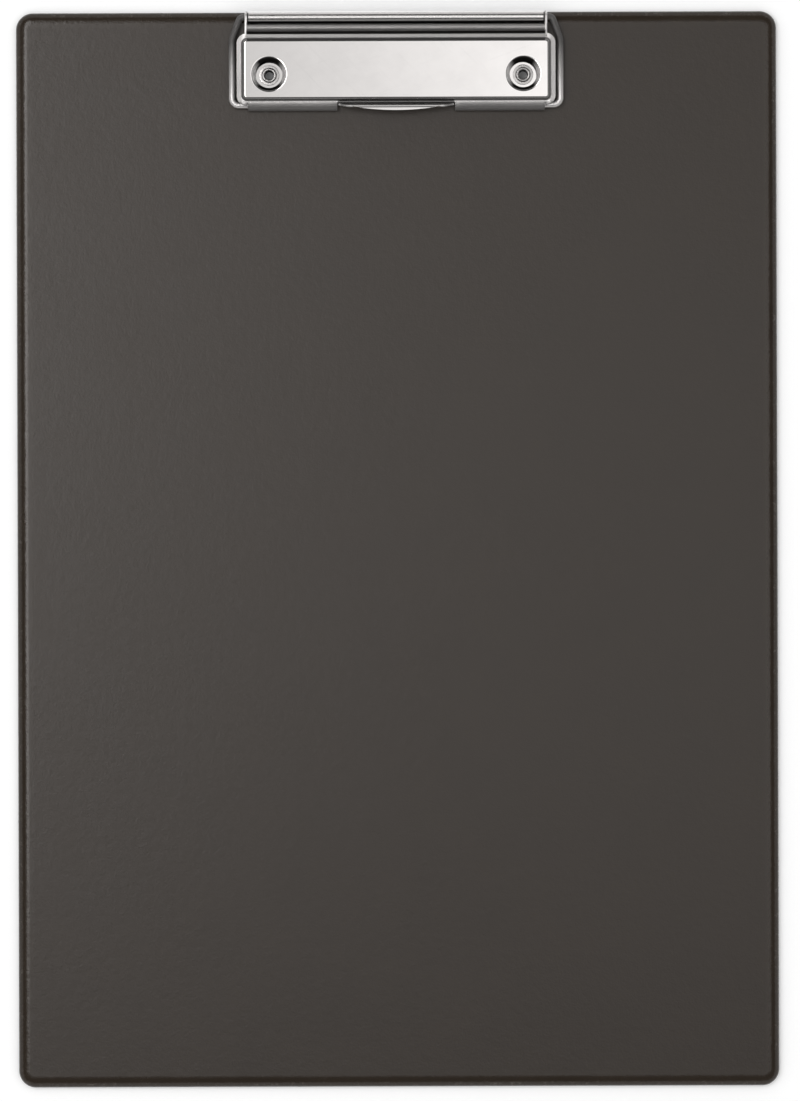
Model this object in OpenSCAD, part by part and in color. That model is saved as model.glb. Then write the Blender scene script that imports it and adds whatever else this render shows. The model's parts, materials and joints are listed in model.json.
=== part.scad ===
// A4 clipboard with a wire-sprung lever clip, in millimetres.
// X runs across the board, +Y towards the clip, +Z out of the writing face.
// The origin is the middle of the board, on the surface that it lies on.

/* [Board] */
// Width of the board
board_w = 225; // [160:1:320]
// Length of the board
board_l = 318; // [220:1:450]
// Thickness of the covered board
board_t = 2.8; // [2.2:0.1:6]
// Radius of the board's corners, seen from above
corner_r = 5; // [4:0.5:12]
// Width of the rounding round the writing face
front_edge_run = 3.6; // [1:0.1:3.8]
// Depth of the rounding round the writing face
front_edge_drop = 1.9; // [0.8:0.1:2.5]
// Radius of the edge round the back
back_edge_r = 0.5; // [0.45:0.05:0.8]
// Thickness of the covering foil
cover_t = 0.25; // [0.15:0.05:0.4]
// Width of foil turned in on the back
turn_in = 14; // [8:0.5:20]
// Thickness of the lining sheet
lining_t = 0.2; // [0.1:0.05:0.4]
// Border that the lining leaves free
lining_border = 3.5; // [2:0.5:6]

/* [Clip base] */
// Thickness of the base plate
base_t = 0.8; // [0.6:0.05:1.2]
// Distance from the plateau's side edges in to the ends of the barrel
base_inset = 0.9; // [0.8:0.1:4]
// Distance from the rolled jaw back to the base plate's front edge
base_setback = 2.2; // [1:0.1:4]
// Radius of the base plate's front corners
base_corner_r = 3; // [1:0.5:5]
// Distance from the board's edge to the barrel
clip_inset = 0; // [0:0.5:5]
// Part of the turn left open in each rolled edge, in degrees
roll_open = 55; // [35:5:80]

/* [Lever plate] */
// Thickness of the lever plate
lever_t = 0.7; // [0.5:0.05:1]
// Width of the raised plateau
plateau_w = 88.8; // [70:0.2:120]
// Length of the raised plateau, from back to front
plateau_l = 16.1; // [13:0.1:24]
// Radius of the plateau's corners along its top edge
plateau_corner_r = 0.4; // [0.2:0.1:2]
// Height that the plateau stands above the rest of the lever plate
emboss_h = 1.2; // [0.9:0.05:1.6]
// Slope of the plateau's sides
emboss_slope = 60; // [45:1:65]
// Inside radius of the pressed bends
bend_r = 0.3; // [0.2:0.05:0.4]
// Distance that the side lips reach out from the plateau's edge
lip_reach = 2.6; // [2:0.1:4]
// Level strip between the slope in front of the plateau and the crest of the rolled jaw
jaw_level = 0.9; // [0.5:0.05:3]
// Distance from the plateau's side edges in to the ends of the rolled jaw
jaw_inset = 0.6; // [0:0.1:3]
// Gap between the closed jaw and the board
jaw_gap = 0.1; // [0.05:0.05:0.3]
// Level strip between the slope behind the plateau and the groove
groove_level = 0.65; // [0.3:0.05:3]
// Slope of the groove behind the plateau
groove_slope = 45; // [35:1:55]
// Straight flank of the groove
groove_flank = 0.3; // [0.2:0.05:0.4]

/* [Finger tab] */
// Width of the finger tab
tab_w = 34; // [20:1:50]
// Level strip at the tip of the tab
tab_tip = 0.7; // [0.3:0.05:2]
// Distance that the tab's ends are drawn back from its tip
tab_bow = 1.9; // [1:0.1:2.4]
// Gap between the tab and the rolled jaw beside it
tab_gap = 0.4; // [0.2:0.05:1]
// Height that the tab stands above the lever plate
tab_rise = 1.9; // [1.2:0.1:2.4]
// Slope of the tab
tab_slope = 58; // [45:1:65]

/* [Rivets] */
// Distance from the plateau's side edges in to the rivets
rivet_inset = 6.9; // [6:0.1:20]
// Distance from the plateau's front edge back to the rivets
rivet_setback = 6.6; // [6:0.1:9]
// Outside diameter of the rivet's tube
rivet_d = 3.5; // [2.8:0.1:4.2]
// Wall of the rivet's tube
rivet_wall = 0.5; // [0.3:0.05:0.7]
// Diameter of the rivet's flange
rivet_flange_d = 6; // [5:0.1:7]
// Thickness of the rivet's flange
rivet_flange_t = 0.35; // [0.25:0.05:0.6]
// Height of the rounded bead on each end of a rivet
rivet_bead_h = 0.45; // [0.3:0.05:0.5]
// Diameter of the washers
washer_d = 8; // [7:0.1:9]
// Thickness of the washers
washer_t = 0.4; // [0.3:0.05:0.5]
// Depth of the washer's seat in the back of the board
seat_depth = 1.0; // [0.9:0.05:1.2]
// Radius of the access holes over the rivets, at the bottom of their collars
access_r = 4.3; // [3.5:0.1:4.6]
// Slope of the access holes' collars
collar_slope = 50; // [40:1:55]
// Straight run of the access holes' collars
collar_run = 1.0; // [0.6:0.1:1.2]

/* [Spring wire] */
// Diameter of the wire
wire_d = 2; // [1.6:0.1:2.2]
// Gap between the side lips and the side arms of the wire
arm_gap = 0.45; // [0.2:0.05:3]
// Angle of the shoulders between the hinge and the side arms
flare = 20; // [12:1:30]
// Middle radius of the bend beside the hinge
hinge_bend_r = 1.5; // [1.3:0.1:2]
// Middle radius of the bend between shoulder and side arm
shoulder_bend_r = 5; // [2:0.5:8]
// Middle radius of the front corners
foot_bend_r = 2; // [1.7:0.1:3.4]
// Length of each foot inside the rolled jaw
foot_l = 20; // [10:1:24]

/* [Fits] */
// Clearance round the wire in its rolled edges and ears
wire_fit = 0.05; // [0.02:0.01:0.1]
// Clearance round the rivets in their holes
rivet_fit = 0.05; // [0.02:0.01:0.2]
// Clearance round the washers in their seats
washer_fit = 0.3; // [0.1:0.05:0.5]
// Clearance between the lever's heel and the base plate
heel_fit = 0.3; // [0.2:0.05:0.5]
// Clearance between the ears and the ends of the barrel
ear_fit = 0.4; // [0.2:0.05:0.8]

/* [Hidden] */
$fn = 64;
arc_step = 9;       // degrees between the points of a drawn arc
wire_sides = 16;    // flats round the bent stretches of the wire
lap = 0.15;         // how far a flat sheet runs past the middle of the roll that it feeds
skim = 0.02;        // how far the roll's faces stand inside that sheet's faces
cut = 1;            // how far a cutter runs past what it cuts
inner_ratio = 0.99; // the bent wire is this much finer than its straight ends, so that it starts inside them

// Stack of the covered board, from the surface it lies on
core_bottom = lining_t + cover_t;
core_top = board_t - cover_t;

// Rounding round the writing face, no deeper than the board's thickness leaves room for
front_drop = min(front_edge_drop, board_t - lining_t - back_edge_r - cover_t / 2);

// Rolls: the wire runs in both at one height over the board
wire_r = wire_d / 2;
bore_r = wire_r + wire_fit;
barrel_r = bore_r + base_t;
jaw_r = bore_r + lever_t;
axis_h = max(barrel_r + skim, jaw_r + jaw_gap);
hinge_y = board_l / 2 - clip_inset - barrel_r;

// Lever plate: heights of its middle surface over the board
level_mid = axis_h + jaw_r + skim - lever_t / 2;
plateau_mid = level_mid + emboss_h;
bend_mid_r = bend_r + lever_t / 2;
half_plateau = plateau_w / 2;
half_base = half_plateau - base_inset;
wall_run = snap(step_run(emboss_h, emboss_slope));

// Ears: outside the barrel, inside the wire's bends
ear_in = half_base + ear_fit;
ear_out = ear_in + lever_t;
pin_half = ear_out + ear_fit;

// Heel: comes down just in front of the barrel
heel_v = barrel_r + heel_fit + lever_t / 2;
groove_run = snap(4 * bend_mid_r * sin(groove_slope) + 2 * groove_flank * cos(groove_slope));
heel_drop = level_mid - bend_mid_r - base_t - heel_fit;

// Distances in front of the hinge, from the heel to the tip of the tab
plateau_back = heel_v + bend_mid_r + groove_run + groove_level + wall_run;
plateau_front = plateau_back + plateau_l;
level_start = plateau_front + wall_run + lap;
jaw_reach = plateau_front + wall_run + jaw_level;
tab_reach = level_start + snap(step_run(tab_rise, tab_slope)) + tab_tip;
base_reach = jaw_reach - jaw_r - base_setback;
rivet_reach = plateau_front - rivet_setback;

// Plateau: its flat top ends where the corners are turned
flat_x = half_plateau - plateau_corner_r;
flat_back = plateau_back + plateau_corner_r;
flat_front = plateau_front - plateau_corner_r;

// Jaw: two rolls round the feet of the wire, either side of the tab
half_tab = tab_w / 2;
jaw_in = half_tab + tab_gap;
jaw_out = half_plateau - jaw_inset;

// Wire: its side arms run outside the lips
arm_x = half_plateau + lip_reach + arm_gap + wire_r;
foot_out = arm_x - foot_bend_r;

// Collars of the access holes
collar_width = snap(bend_mid_r * sin(collar_slope) + collar_run * cos(collar_slope));
collar_r = access_r + collar_width;

// Rivets
half_pitch = half_plateau - rivet_inset;
rivet_r = rivet_d / 2;
tube_r = rivet_r - rivet_wall;
washer_bottom = seat_depth - washer_t;

// A worked-out place, to the nearest thousandth of a millimetre, so that what meets there meets exactly
function snap(place) = round(1000 * place) / 1000;

// ---- Outlines ----

// Points of an arc round c, from angle a0 to a1
function arc(c, r, a0, a1) =
    let (n = ceil(abs(a1 - a0) / arc_step))
    [for (k = [0:n]) c + r * [cos(a0 + (a1 - a0) * k / n), sin(a0 + (a1 - a0) * k / n)]];

// Points of half an ellipse that bulges to the side that height points to
function bead(x0, x1, y, height) =
    let (n = ceil(180 / (2 * arc_step)))
    [for (k = [0:n]) [(x0 + x1) / 2 - (x1 - x0) / 2 * cos(180 * k / n), y + height * sin(180 * k / n)]];

// Length of the slope in an S-shaped step, and the run of the whole step
function step_slope(rise, slope) = (rise - 2 * bend_mid_r * (1 - cos(slope))) / sin(slope);
function step_run(rise, slope) = 2 * bend_mid_r * sin(slope) + step_slope(rise, slope) * cos(slope);

// The middle line of a bent sheet, as [x, y, heading] samples. It starts at p with heading a, and each
// step is [straight length, angle turned to the left after it, middle radius of that bend].
function walk(steps, p, a, i = 0) =
    i == len(steps) ? [[p.x, p.y, a]] :
    let (
        q = p + steps[i][0] * [cos(a), sin(a)],
        turn = steps[i][1],
        side = sign(turn),
        r = steps[i][2],
        c = q + side * r * [-sin(a), cos(a)],
        n = ceil(abs(turn) / arc_step),
        heading = a + turn,
        end = turn == 0 ? q : c + side * r * [sin(heading), -cos(heading)],
        bent = [for (k = [0:1:n - 1])
            let (b = a + turn * k / n) [c.x + side * r * sin(b), c.y - side * r * cos(b), b]]
    )
    concat(steps[i][0] > 0 ? [[p.x, p.y, a]] : [], bent, walk(steps, end, heading, i + 1));

// Outline of a sheet of thickness t along that middle line
function sheet(steps, p, a, t) =
    let (line = walk(steps, p, a), back = [for (i = [len(line) - 1:-1:0]) line[i]])
    concat(
        [for (q = line) [q.x - t / 2 * sin(q[2]), q.y + t / 2 * cos(q[2])]],
        [for (q = back) [q.x + t / 2 * sin(q[2]), q.y - t / 2 * cos(q[2])]]
    );

// A rolled edge: a ring with a gap that starts at the angle from and turns to the left
module roll(outer_r, from) {
    difference() {
        circle(r = outer_r);
        circle(r = bore_r);
        polygon([
            [0, 0],
            2 * outer_r * [cos(from), sin(from)],
            2 * outer_r * [cos(from + roll_open), sin(from + roll_open)],
        ]);
    }
}

// ---- Placing ----

// The clip is drawn over the hinge: its profiles are [distance in front of the hinge, height over the board]
module on_board() translate([0, hinge_y, board_t]) children();
module across(x0, x1) translate([x1, 0, 0]) rotate([90, 0, -90]) linear_extrude(x1 - x0) children();
module both_sides() {
    children();
    mirror([1, 0, 0]) children();
}

// ---- Board ----

// Half section of a slab's rim, from the corner centre outwards: round below, a quarter ellipse above
function rim(reach, z0, z1, low_r, run, drop) = concat(
    [[0, z0]],
    arc([reach - low_r, z0 + low_r], low_r, -90, 0),
    [for (p = arc([0, 0], 1, 0, 90)) [reach - run + run * p.x, z1 - drop + drop * p.y]],
    [[0, z1]]
);

// A slab as wide and long as the board less an inset all round, with the rim's rounded edges
module slab(inset, z0, z1) {
    reach = corner_r - inset;
    x = board_w / 2 - corner_r;
    y = board_l / 2 - corner_r;
    section = rim(reach, z0, z1, back_edge_r - inset, front_edge_run - inset, front_drop - inset);
    translate([-x, -y, z0]) cube([2 * x, 2 * y, z1 - z0]);
    for (side = [0, 180]) {
        rotate(side) translate([x, y, 0]) rotate([90, 0, 0]) linear_extrude(2 * y) polygon(section);
        rotate(side) translate([-x, y, 0]) rotate([90, 0, 90]) linear_extrude(2 * x) polygon(section);
        rotate(side) translate([x, y, 0]) rotate_extrude(angle = 90) polygon(section);
        rotate(side) translate([-x, y, 0]) rotate([0, 0, 90]) rotate_extrude(angle = 90) polygon(section);
    }
}

// A plain plate with rounded corners, inset from the board's outline
module plate(inset, r, z0, z1) {
    x = board_w / 2 - inset;
    y = board_l / 2 - inset;
    outline = concat(
        arc([x - r, y - r], r, 0, 90), arc([r - x, y - r], r, 90, 180),
        arc([r - x, r - y], r, 180, 270), arc([x - r, r - y], r, 270, 360)
    );
    translate([0, 0, z0]) linear_extrude(z1 - z0) polygon(outline);
}

module core_slab() {
    slab(cover_t, core_bottom, core_top);
}

module rivet_places() {
    for (side = [-1, 1]) translate([side * half_pitch, hinge_y - rivet_reach, 0]) children();
}

module rivet_holes() {
    rivet_places() translate([0, 0, -cut]) cylinder(r = rivet_r + rivet_fit, h = board_t + base_t + 2 * cut);
}

module washer_seats() {
    rivet_places() translate([0, 0, -cut]) cylinder(r = washer_d / 2 + washer_fit, h = seat_depth + cut);
}

module core_board() {
    color("#8f8576")
    difference() {
        core_slab();
        rivet_holes();
        washer_seats();
    }
}

// The foil wraps the core and ends on the back, at the width of its turned-in edge
module front_cover() {
    x = board_w / 2 - turn_in;
    y = board_l / 2 - turn_in;
    color("#46413d")
    difference() {
        slab(0, lining_t, board_t);
        core_slab();
        translate([-x, -y, 0]) cube([2 * x, 2 * y, core_bottom]);
        rivet_holes();
        washer_seats();
    }
}

// The lining lies on the turned-in foil round its rim and on the core inside that
module back_lining() {
    x = board_w / 2 - turn_in;
    y = board_l / 2 - turn_in;
    color("#3b3835")
    difference() {
        union() {
            plate(lining_border, corner_r - lining_border, 0, lining_t);
            translate([-x, -y, 0]) cube([2 * x, 2 * y, core_bottom]);
        }
        translate([lining_t - x, lining_t - y, -cut])
            cube([2 * (x - lining_t), 2 * (y - lining_t), cover_t + cut]);
        washer_seats();
    }
}

// ---- Clip base ----

// A flat plate whose back edge is rolled up into the hinge barrel
module base_plate() {
    r = base_corner_r;
    outline = concat(
        [[half_base, lap], [-half_base, lap]],
        arc([r - half_base, r - base_reach], r, 180, 270),
        arc([half_base - r, r - base_reach], r, 270, 360)
    );
    color("#c9ccd0")
    difference() {
        on_board() {
            linear_extrude(base_t) polygon(outline);
            across(-half_base, half_base) translate([0, axis_h]) roll(barrel_r, -90);
        }
        rivet_holes();
    }
}

// ---- Lever plate ----

// Section through the plateau's side: over the edge, down the slope and out along the lip
module wall_section(lip) {
    slope_l = step_slope(emboss_h, emboss_slope);
    polygon(sheet([
        [plateau_corner_r, -emboss_slope, bend_mid_r],
        [slope_l, emboss_slope, bend_mid_r],
        [lip, 0, 0],
    ], [0, plateau_mid], 0, lever_t));
}

// Section behind the plateau: slope, groove, ridge, and the heel that comes down in front of the barrel
module heel_section() {
    slope_l = step_slope(emboss_h, emboss_slope);
    polygon(sheet([
        [plateau_corner_r, -emboss_slope, bend_mid_r],
        [slope_l, emboss_slope, bend_mid_r],
        [groove_level, -groove_slope, bend_mid_r],
        [groove_flank, 2 * groove_slope, bend_mid_r],
        [groove_flank, -groove_slope, bend_mid_r],
        [0, -90, bend_mid_r],
        [heel_drop, 0, 0],
    ], [0, plateau_mid], 0, lever_t));
}

// Section through the finger tab: it steps up from the lever plate to a level tip
module tab_section() {
    polygon(sheet([
        [0, tab_slope, bend_mid_r],
        [step_slope(tab_rise, tab_slope), -tab_slope, bend_mid_r],
        [tab_tip, 0, 0],
    ], [level_start, level_mid], 0, lever_t));
}

// The plateau's four corners, each turned through a quarter
module plateau_corners() {
    both_sides() {
        translate([flat_x, -flat_front, 0]) rotate([0, 0, -90])
            rotate_extrude(angle = 90) wall_section(lip_reach - wall_run);
        translate([flat_x, -flat_back, 0])
            rotate_extrude(angle = 90) wall_section(lip_reach - wall_run);
    }
}

module plateau_sides() {
    both_sides() translate([flat_x, -flat_back, 0]) rotate([90, 0, 0])
        linear_extrude(flat_front - flat_back) wall_section(lip_reach - wall_run);
}

// The slope in front of the plateau, and the rolled jaw on both sides of the tab
module jaw() {
    across(-flat_x, flat_x) translate([flat_front, 0]) wall_section(2 * lap);
    both_sides() across(jaw_in, jaw_out) {
        translate([level_start, level_mid - lever_t / 2]) square([jaw_reach + lap - level_start, lever_t]);
        translate([jaw_reach, axis_h]) roll(jaw_r, 95);
    }
}

// The tab's front edge is bowed, so its ends run back into the slope
module finger_tab() {
    bow_r = (half_tab * half_tab + tab_bow * tab_bow) / (2 * tab_bow);
    intersection() {
        across(-half_tab, half_tab) tab_section();
        translate([0, bow_r - tab_reach, 0]) cylinder(r = bow_r, h = level_mid + tab_rise + lever_t, $fn = 256);
    }
}

// Collar drawn down round an access hole
module collar() {
    rotate_extrude() polygon(sheet([
        [0, collar_slope, bend_mid_r],
        [collar_run, 0, 0],
    ], [collar_r, plateau_mid], 180, lever_t));
}

// An ear carries the lever on the wire, beside the end of the barrel
module ear() {
    top = level_mid + lever_t / 2;
    across(ear_in, ear_out) difference() {
        union() {
            translate([0, axis_h]) circle(r = jaw_r);
            polygon([
                [lap, top], [plateau_back, top], [plateau_back, level_mid],
                [jaw_r, axis_h - jaw_r / 2], [lap, axis_h - jaw_r / 2],
            ]);
        }
        translate([0, axis_h]) circle(r = bore_r);
    }
}

module clamp_lever() {
    color("#d4d7da")
    on_board() {
        difference() {
            translate([-flat_x, -flat_front, plateau_mid - lever_t / 2])
                cube([2 * flat_x, flat_front - flat_back, lever_t]);
            for (side = [-1, 1]) translate([side * half_pitch, -rivet_reach, 0])
                cylinder(r = collar_r, h = plateau_mid + lever_t);
        }
        for (side = [-1, 1]) translate([side * half_pitch, -rivet_reach, 0]) collar();
        plateau_sides();
        plateau_corners();
        across(-flat_x, flat_x) translate([flat_back, 0]) mirror([1, 0]) heel_section();
        both_sides() ear();
        jaw();
        finger_tab();
    }
}

// ---- Spring wire ----

// Middle line of one bent arm, in plan: out of the hinge, along the side and into the jaw
function arm_line() =
    let (
        turn = 90 - flare,
        out = arm_x - pin_half - hinge_bend_r * sin(turn) - shoulder_bend_r * (1 - cos(flare)),
        shoulder = out / sin(flare),
        back = hinge_bend_r * (1 - cos(turn)) + shoulder * cos(flare) + shoulder_bend_r * sin(flare),
        side = jaw_reach - back - foot_bend_r
    )
    walk([
        [cut / 2, -turn, hinge_bend_r],
        [shoulder, -flare, shoulder_bend_r],
        [side, -90, foot_bend_r],
        [cut / 2, 0, 0],
    ], [pin_half - cut / 2, 0], 0);

// A round bar bent along that line, as rings of points joined by flat faces
module bent_arm() {
    line = arm_line();
    rings = len(line);
    r = wire_r * inner_ratio;
    points = [for (q = line, k = [0:wire_sides - 1])
        let (b = 360 * k / wire_sides)
        [q.x - r * cos(b) * sin(q[2]), q.y + r * cos(b) * cos(q[2]), axis_h + r * sin(b)]];
    skin = [for (i = [0:rings - 2], k = [0:wire_sides - 1])
        let (m = (k + 1) % wire_sides, a = i * wire_sides, b = a + wire_sides)
        [a + k, b + k, b + m, a + m]];
    ends = [
        [for (k = [0:wire_sides - 1]) k],
        [for (k = [wire_sides - 1:-1:0]) (rings - 1) * wire_sides + k],
    ];
    polyhedron(points, concat(skin, ends));
}

module spring_wire() {
    color("#c2c5c8")
    on_board() {
        across(-pin_half, pin_half) translate([0, axis_h]) circle(r = wire_r);
        both_sides() {
            bent_arm();
            across(foot_out - foot_l, foot_out) translate([jaw_reach, axis_h]) circle(r = wire_r);
        }
    }
}

// ---- Rivets ----

// A tubular rivet: flange and rounded bead on the clip, rolled bead under the washer on the back
module rivet() {
    flange_z = board_t + base_t;
    bead_z = flange_z + rivet_flange_t;
    bead_r = rivet_r + rivet_wall;
    tail_r = rivet_r + 2 * rivet_wall;
    color("#b9bcbf")
    rotate_extrude() polygon(concat(
        bead(tube_r, bead_r, bead_z, rivet_bead_h),
        [
            [rivet_flange_d / 2, bead_z], [rivet_flange_d / 2, flange_z],
            [rivet_r, flange_z], [rivet_r, washer_bottom],
        ],
        bead(tail_r, tube_r, washer_bottom, -rivet_bead_h)
    ));
}

module washer() {
    color("#aeb1b4")
    translate([0, 0, washer_bottom]) difference() {
        cylinder(d = washer_d, h = washer_t);
        translate([0, 0, -cut]) cylinder(r = rivet_r + rivet_fit, h = washer_t + 2 * cut);
    }
}

module at_rivet(side) translate([side * half_pitch, hinge_y - rivet_reach, 0]) children();

core_board();
front_cover();
back_lining();
base_plate();
clamp_lever();
spring_wire();
at_rivet(-1) rivet();  // left_rivet
at_rivet(1) rivet();  // right_rivet
at_rivet(-1) washer();  // left_rivet_washer
at_rivet(1) washer();  // right_rivet_washer
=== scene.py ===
"""An A4 clipboard with a sprung lever clip: smooth skins, finishes, studio and camera.

Lengths are in metres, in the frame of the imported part: +X to the right, +Y towards the clip and +Z out
of the writing face. The clip's own profiles are drawn as (distance in front of the hinge, height over the
writing face).
"""
import json
import logging
import math
from dataclasses import dataclass, field
from enum import Enum
from itertools import pairwise
from typing import NamedTuple, Sequence

import bmesh
import bpy
import numpy as np
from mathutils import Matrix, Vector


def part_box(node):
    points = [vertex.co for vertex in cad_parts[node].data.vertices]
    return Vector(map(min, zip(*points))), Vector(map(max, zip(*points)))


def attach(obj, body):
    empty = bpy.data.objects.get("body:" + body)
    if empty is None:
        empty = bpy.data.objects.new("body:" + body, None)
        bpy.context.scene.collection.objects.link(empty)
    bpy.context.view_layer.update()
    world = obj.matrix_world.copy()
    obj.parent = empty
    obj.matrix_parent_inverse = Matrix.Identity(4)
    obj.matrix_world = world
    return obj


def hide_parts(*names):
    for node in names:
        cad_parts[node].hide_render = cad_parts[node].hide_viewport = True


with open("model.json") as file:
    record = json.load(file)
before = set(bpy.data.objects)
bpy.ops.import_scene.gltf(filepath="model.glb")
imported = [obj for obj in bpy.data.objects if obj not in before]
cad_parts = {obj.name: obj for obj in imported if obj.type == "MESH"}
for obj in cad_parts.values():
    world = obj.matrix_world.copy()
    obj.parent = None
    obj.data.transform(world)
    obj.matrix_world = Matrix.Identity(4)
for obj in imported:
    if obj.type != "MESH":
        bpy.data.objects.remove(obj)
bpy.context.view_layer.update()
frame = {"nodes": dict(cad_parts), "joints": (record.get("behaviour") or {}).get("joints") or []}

MM = 0.001
GUARD = 0.03 * MM      # width of the narrow rows that keep a flat face flat beside a bend
BEND_STEP = 5.0        # degrees between the rows of a bend
WELD = 0.002 * MM      # points nearer than this are one point
PLACES = 9             # decimals of a metre that tell two grid lines apart
SHARP = math.radians(32)
CUT_EDGE = math.radians(60)

Span = tuple[float, float]
Value = float | bpy.types.NodeSocket

log = logging.getLogger("clipboard")


class Body(Enum):
    """The bodies of the part that a piece can ride on."""

    BOARD = "board"
    LEVER = "lever"


class Slot(Enum):
    """The record's material slot names for the new pieces, passed to place() with each piece."""

    COVER = "cover_foil"
    LINING = "lining_foil"
    SHEET = "chromed_sheet"
    WIRE = "chromed_wire"
    RIVET = "rivet_steel"


# ---- Lines and surfaces ----


class Bend(NamedTuple):
    """One step of a bent line: a straight length, then a turn to the left about a middle radius."""

    straight: float
    turn: float
    radius: float


def stations(low: float, high: float, parts: int) -> np.ndarray:
    """Evenly spaced values with a narrow row at both ends, which keeps a flat face flat.

    Args:
        low: First value.
        high: Last value.
        parts: How many even parts lie between them.

    Returns:
        The sorted values.
    """
    even = np.linspace(low, high, parts + 1)
    if high - low < 4 * GUARD:
        return even
    return np.unique(np.concatenate([even, [low + GUARD, high - GUARD]]))


def about(middle: float, half: float, parts: int) -> np.ndarray:
    """Even values over a block, from half on one side of its middle to half on the other."""
    return np.linspace(middle - half, middle + half, parts + 1)


def grid_lines(*runs: Sequence[float]) -> np.ndarray:
    """Several runs of grid lines as one sorted run, in which each line stands once."""
    return np.unique(np.round(np.concatenate(runs), PLACES))


def bend_line(steps: Sequence[Bend], start: tuple[float, float], heading: float) -> np.ndarray:
    """Follows straights and bends like a pen, each bend being the circle about its own centre.

    A bend's points are centre + radius * (sin b, -cos b) for headings b from before to after the turn,
    mirrored for a turn to the right.

    Args:
        steps: The straights and bends in order, turns in degrees.
        start: First point.
        heading: First direction, in degrees from the first axis.

    Returns:
        The line's points, one row each.
    """
    place, way, parts = np.array(start, float), math.radians(heading), []
    for step in steps:
        ahead = np.array([math.cos(way), math.sin(way)])
        if step.straight > 0:
            parts.append(place + stations(0.0, step.straight, 1)[:, None] * ahead)
            place = place + step.straight * ahead
        if step.turn:
            side = math.copysign(1.0, step.turn)
            centre = place + side * step.radius * np.array([-math.sin(way), math.cos(way)])
            count = max(2, math.ceil(abs(step.turn) / BEND_STEP))
            b = way + math.radians(step.turn) * np.linspace(0, 1, count + 1)
            parts.append(centre + side * step.radius * np.stack([np.sin(b), -np.cos(b)], axis=1))
            way, place = float(b[-1]), parts[-1][-1]
    line = np.concatenate(parts)
    keep = np.append(True, np.linalg.norm(np.diff(line, axis=0), axis=1) > WELD)
    return line[keep]


def step_slope(rise: float, slope: float, radius: float) -> float:
    """Length of the slope in an S-shaped step of that rise."""
    a = math.radians(slope)
    return (rise - 2 * radius * (1 - math.cos(a))) / math.sin(a)


def step_run(rise: float, slope: float, radius: float) -> float:
    """How far an S-shaped step of that rise runs along the sheet."""
    a = math.radians(slope)
    return 2 * radius * math.sin(a) + step_slope(rise, slope, radius) * math.cos(a)


def oval_arc(centre: tuple[float, float], run: float, drop: float, start: float, stop: float,
             count: int) -> np.ndarray:
    """Points centre + (run cos a, drop sin a) for angles a from start to stop, in degrees."""
    a = np.radians(np.linspace(start, stop, count + 1))
    return np.array(centre) + np.stack([run * np.cos(a), drop * np.sin(a)], axis=1)


def grid_faces(rows: int, columns: int, first: int) -> np.ndarray:
    """Joins the points of a grid, which are numbered row by row, into four-sided faces.

    Args:
        rows: How many rows of points the grid has.
        columns: How many points a row has.
        first: Number of the grid's first point.

    Returns:
        Four corner numbers for each cell.
    """
    r, c = np.meshgrid(np.arange(rows - 1), np.arange(columns - 1), indexing="ij")
    corner = first + (r * columns + c).ravel()
    return np.stack([corner, corner + 1, corner + columns + 1, corner + columns], axis=1)


def revolve(profile: np.ndarray, centre: tuple[float, float], angles: np.ndarray) -> np.ndarray:
    """Turns a section about an upright axis: (cx + r cos a, cy + r sin a, h).

    Args:
        profile: The section's points as (radius, height).
        centre: Place of the axis in plan.
        angles: Directions of the turned sections, in radians.

    Returns:
        A grid of points, one row per angle.
    """
    r, a = profile[None, :, 0], angles[:, None]
    height = np.broadcast_to(profile[None, :, 1], (len(angles), len(profile)))
    return np.stack([centre[0] + r * np.cos(a), centre[1] + r * np.sin(a), height], axis=2)


def ring_between(outline: np.ndarray, centre: tuple[float, float], radius: float,
                 shares: np.ndarray, height: float) -> np.ndarray:
    """Flat rows of points from a closed outline in to a circle round centre.

    Each outline point moves straight towards the circle's point in its own direction.

    Args:
        outline: Closed outline, first point repeated at the end.
        centre: Middle of the circle.
        radius: Radius of the circle.
        shares: How far in each row lies, 0 on the outline and 1 on the circle.
        height: Height of the flat face.

    Returns:
        A grid of points, one row per share.
    """
    out = outline - np.array(centre)
    circle = radius * out / np.linalg.norm(out, axis=1)[:, None]
    flat = out[None] + shares[:, None, None] * (circle - out)[None] + np.array(centre)
    return np.concatenate([flat, np.full(flat.shape[:2] + (1,), height)], axis=2)


def block_outline(xs: np.ndarray, ys: np.ndarray) -> np.ndarray:
    """The grid points round the edge of a block.

    Args:
        xs: The block's grid lines across.
        ys: The block's grid lines along.

    Returns:
        The points anticlockwise, first point repeated at the end.
    """
    return np.concatenate([
        np.stack([xs, np.full(len(xs), ys[0])], axis=1)[:-1],
        np.stack([np.full(len(ys), xs[-1]), ys], axis=1)[:-1],
        np.stack([xs[::-1], np.full(len(xs), ys[-1])], axis=1)[:-1],
        np.stack([np.full(len(ys), xs[0]), ys[::-1]], axis=1),
    ])


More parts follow.
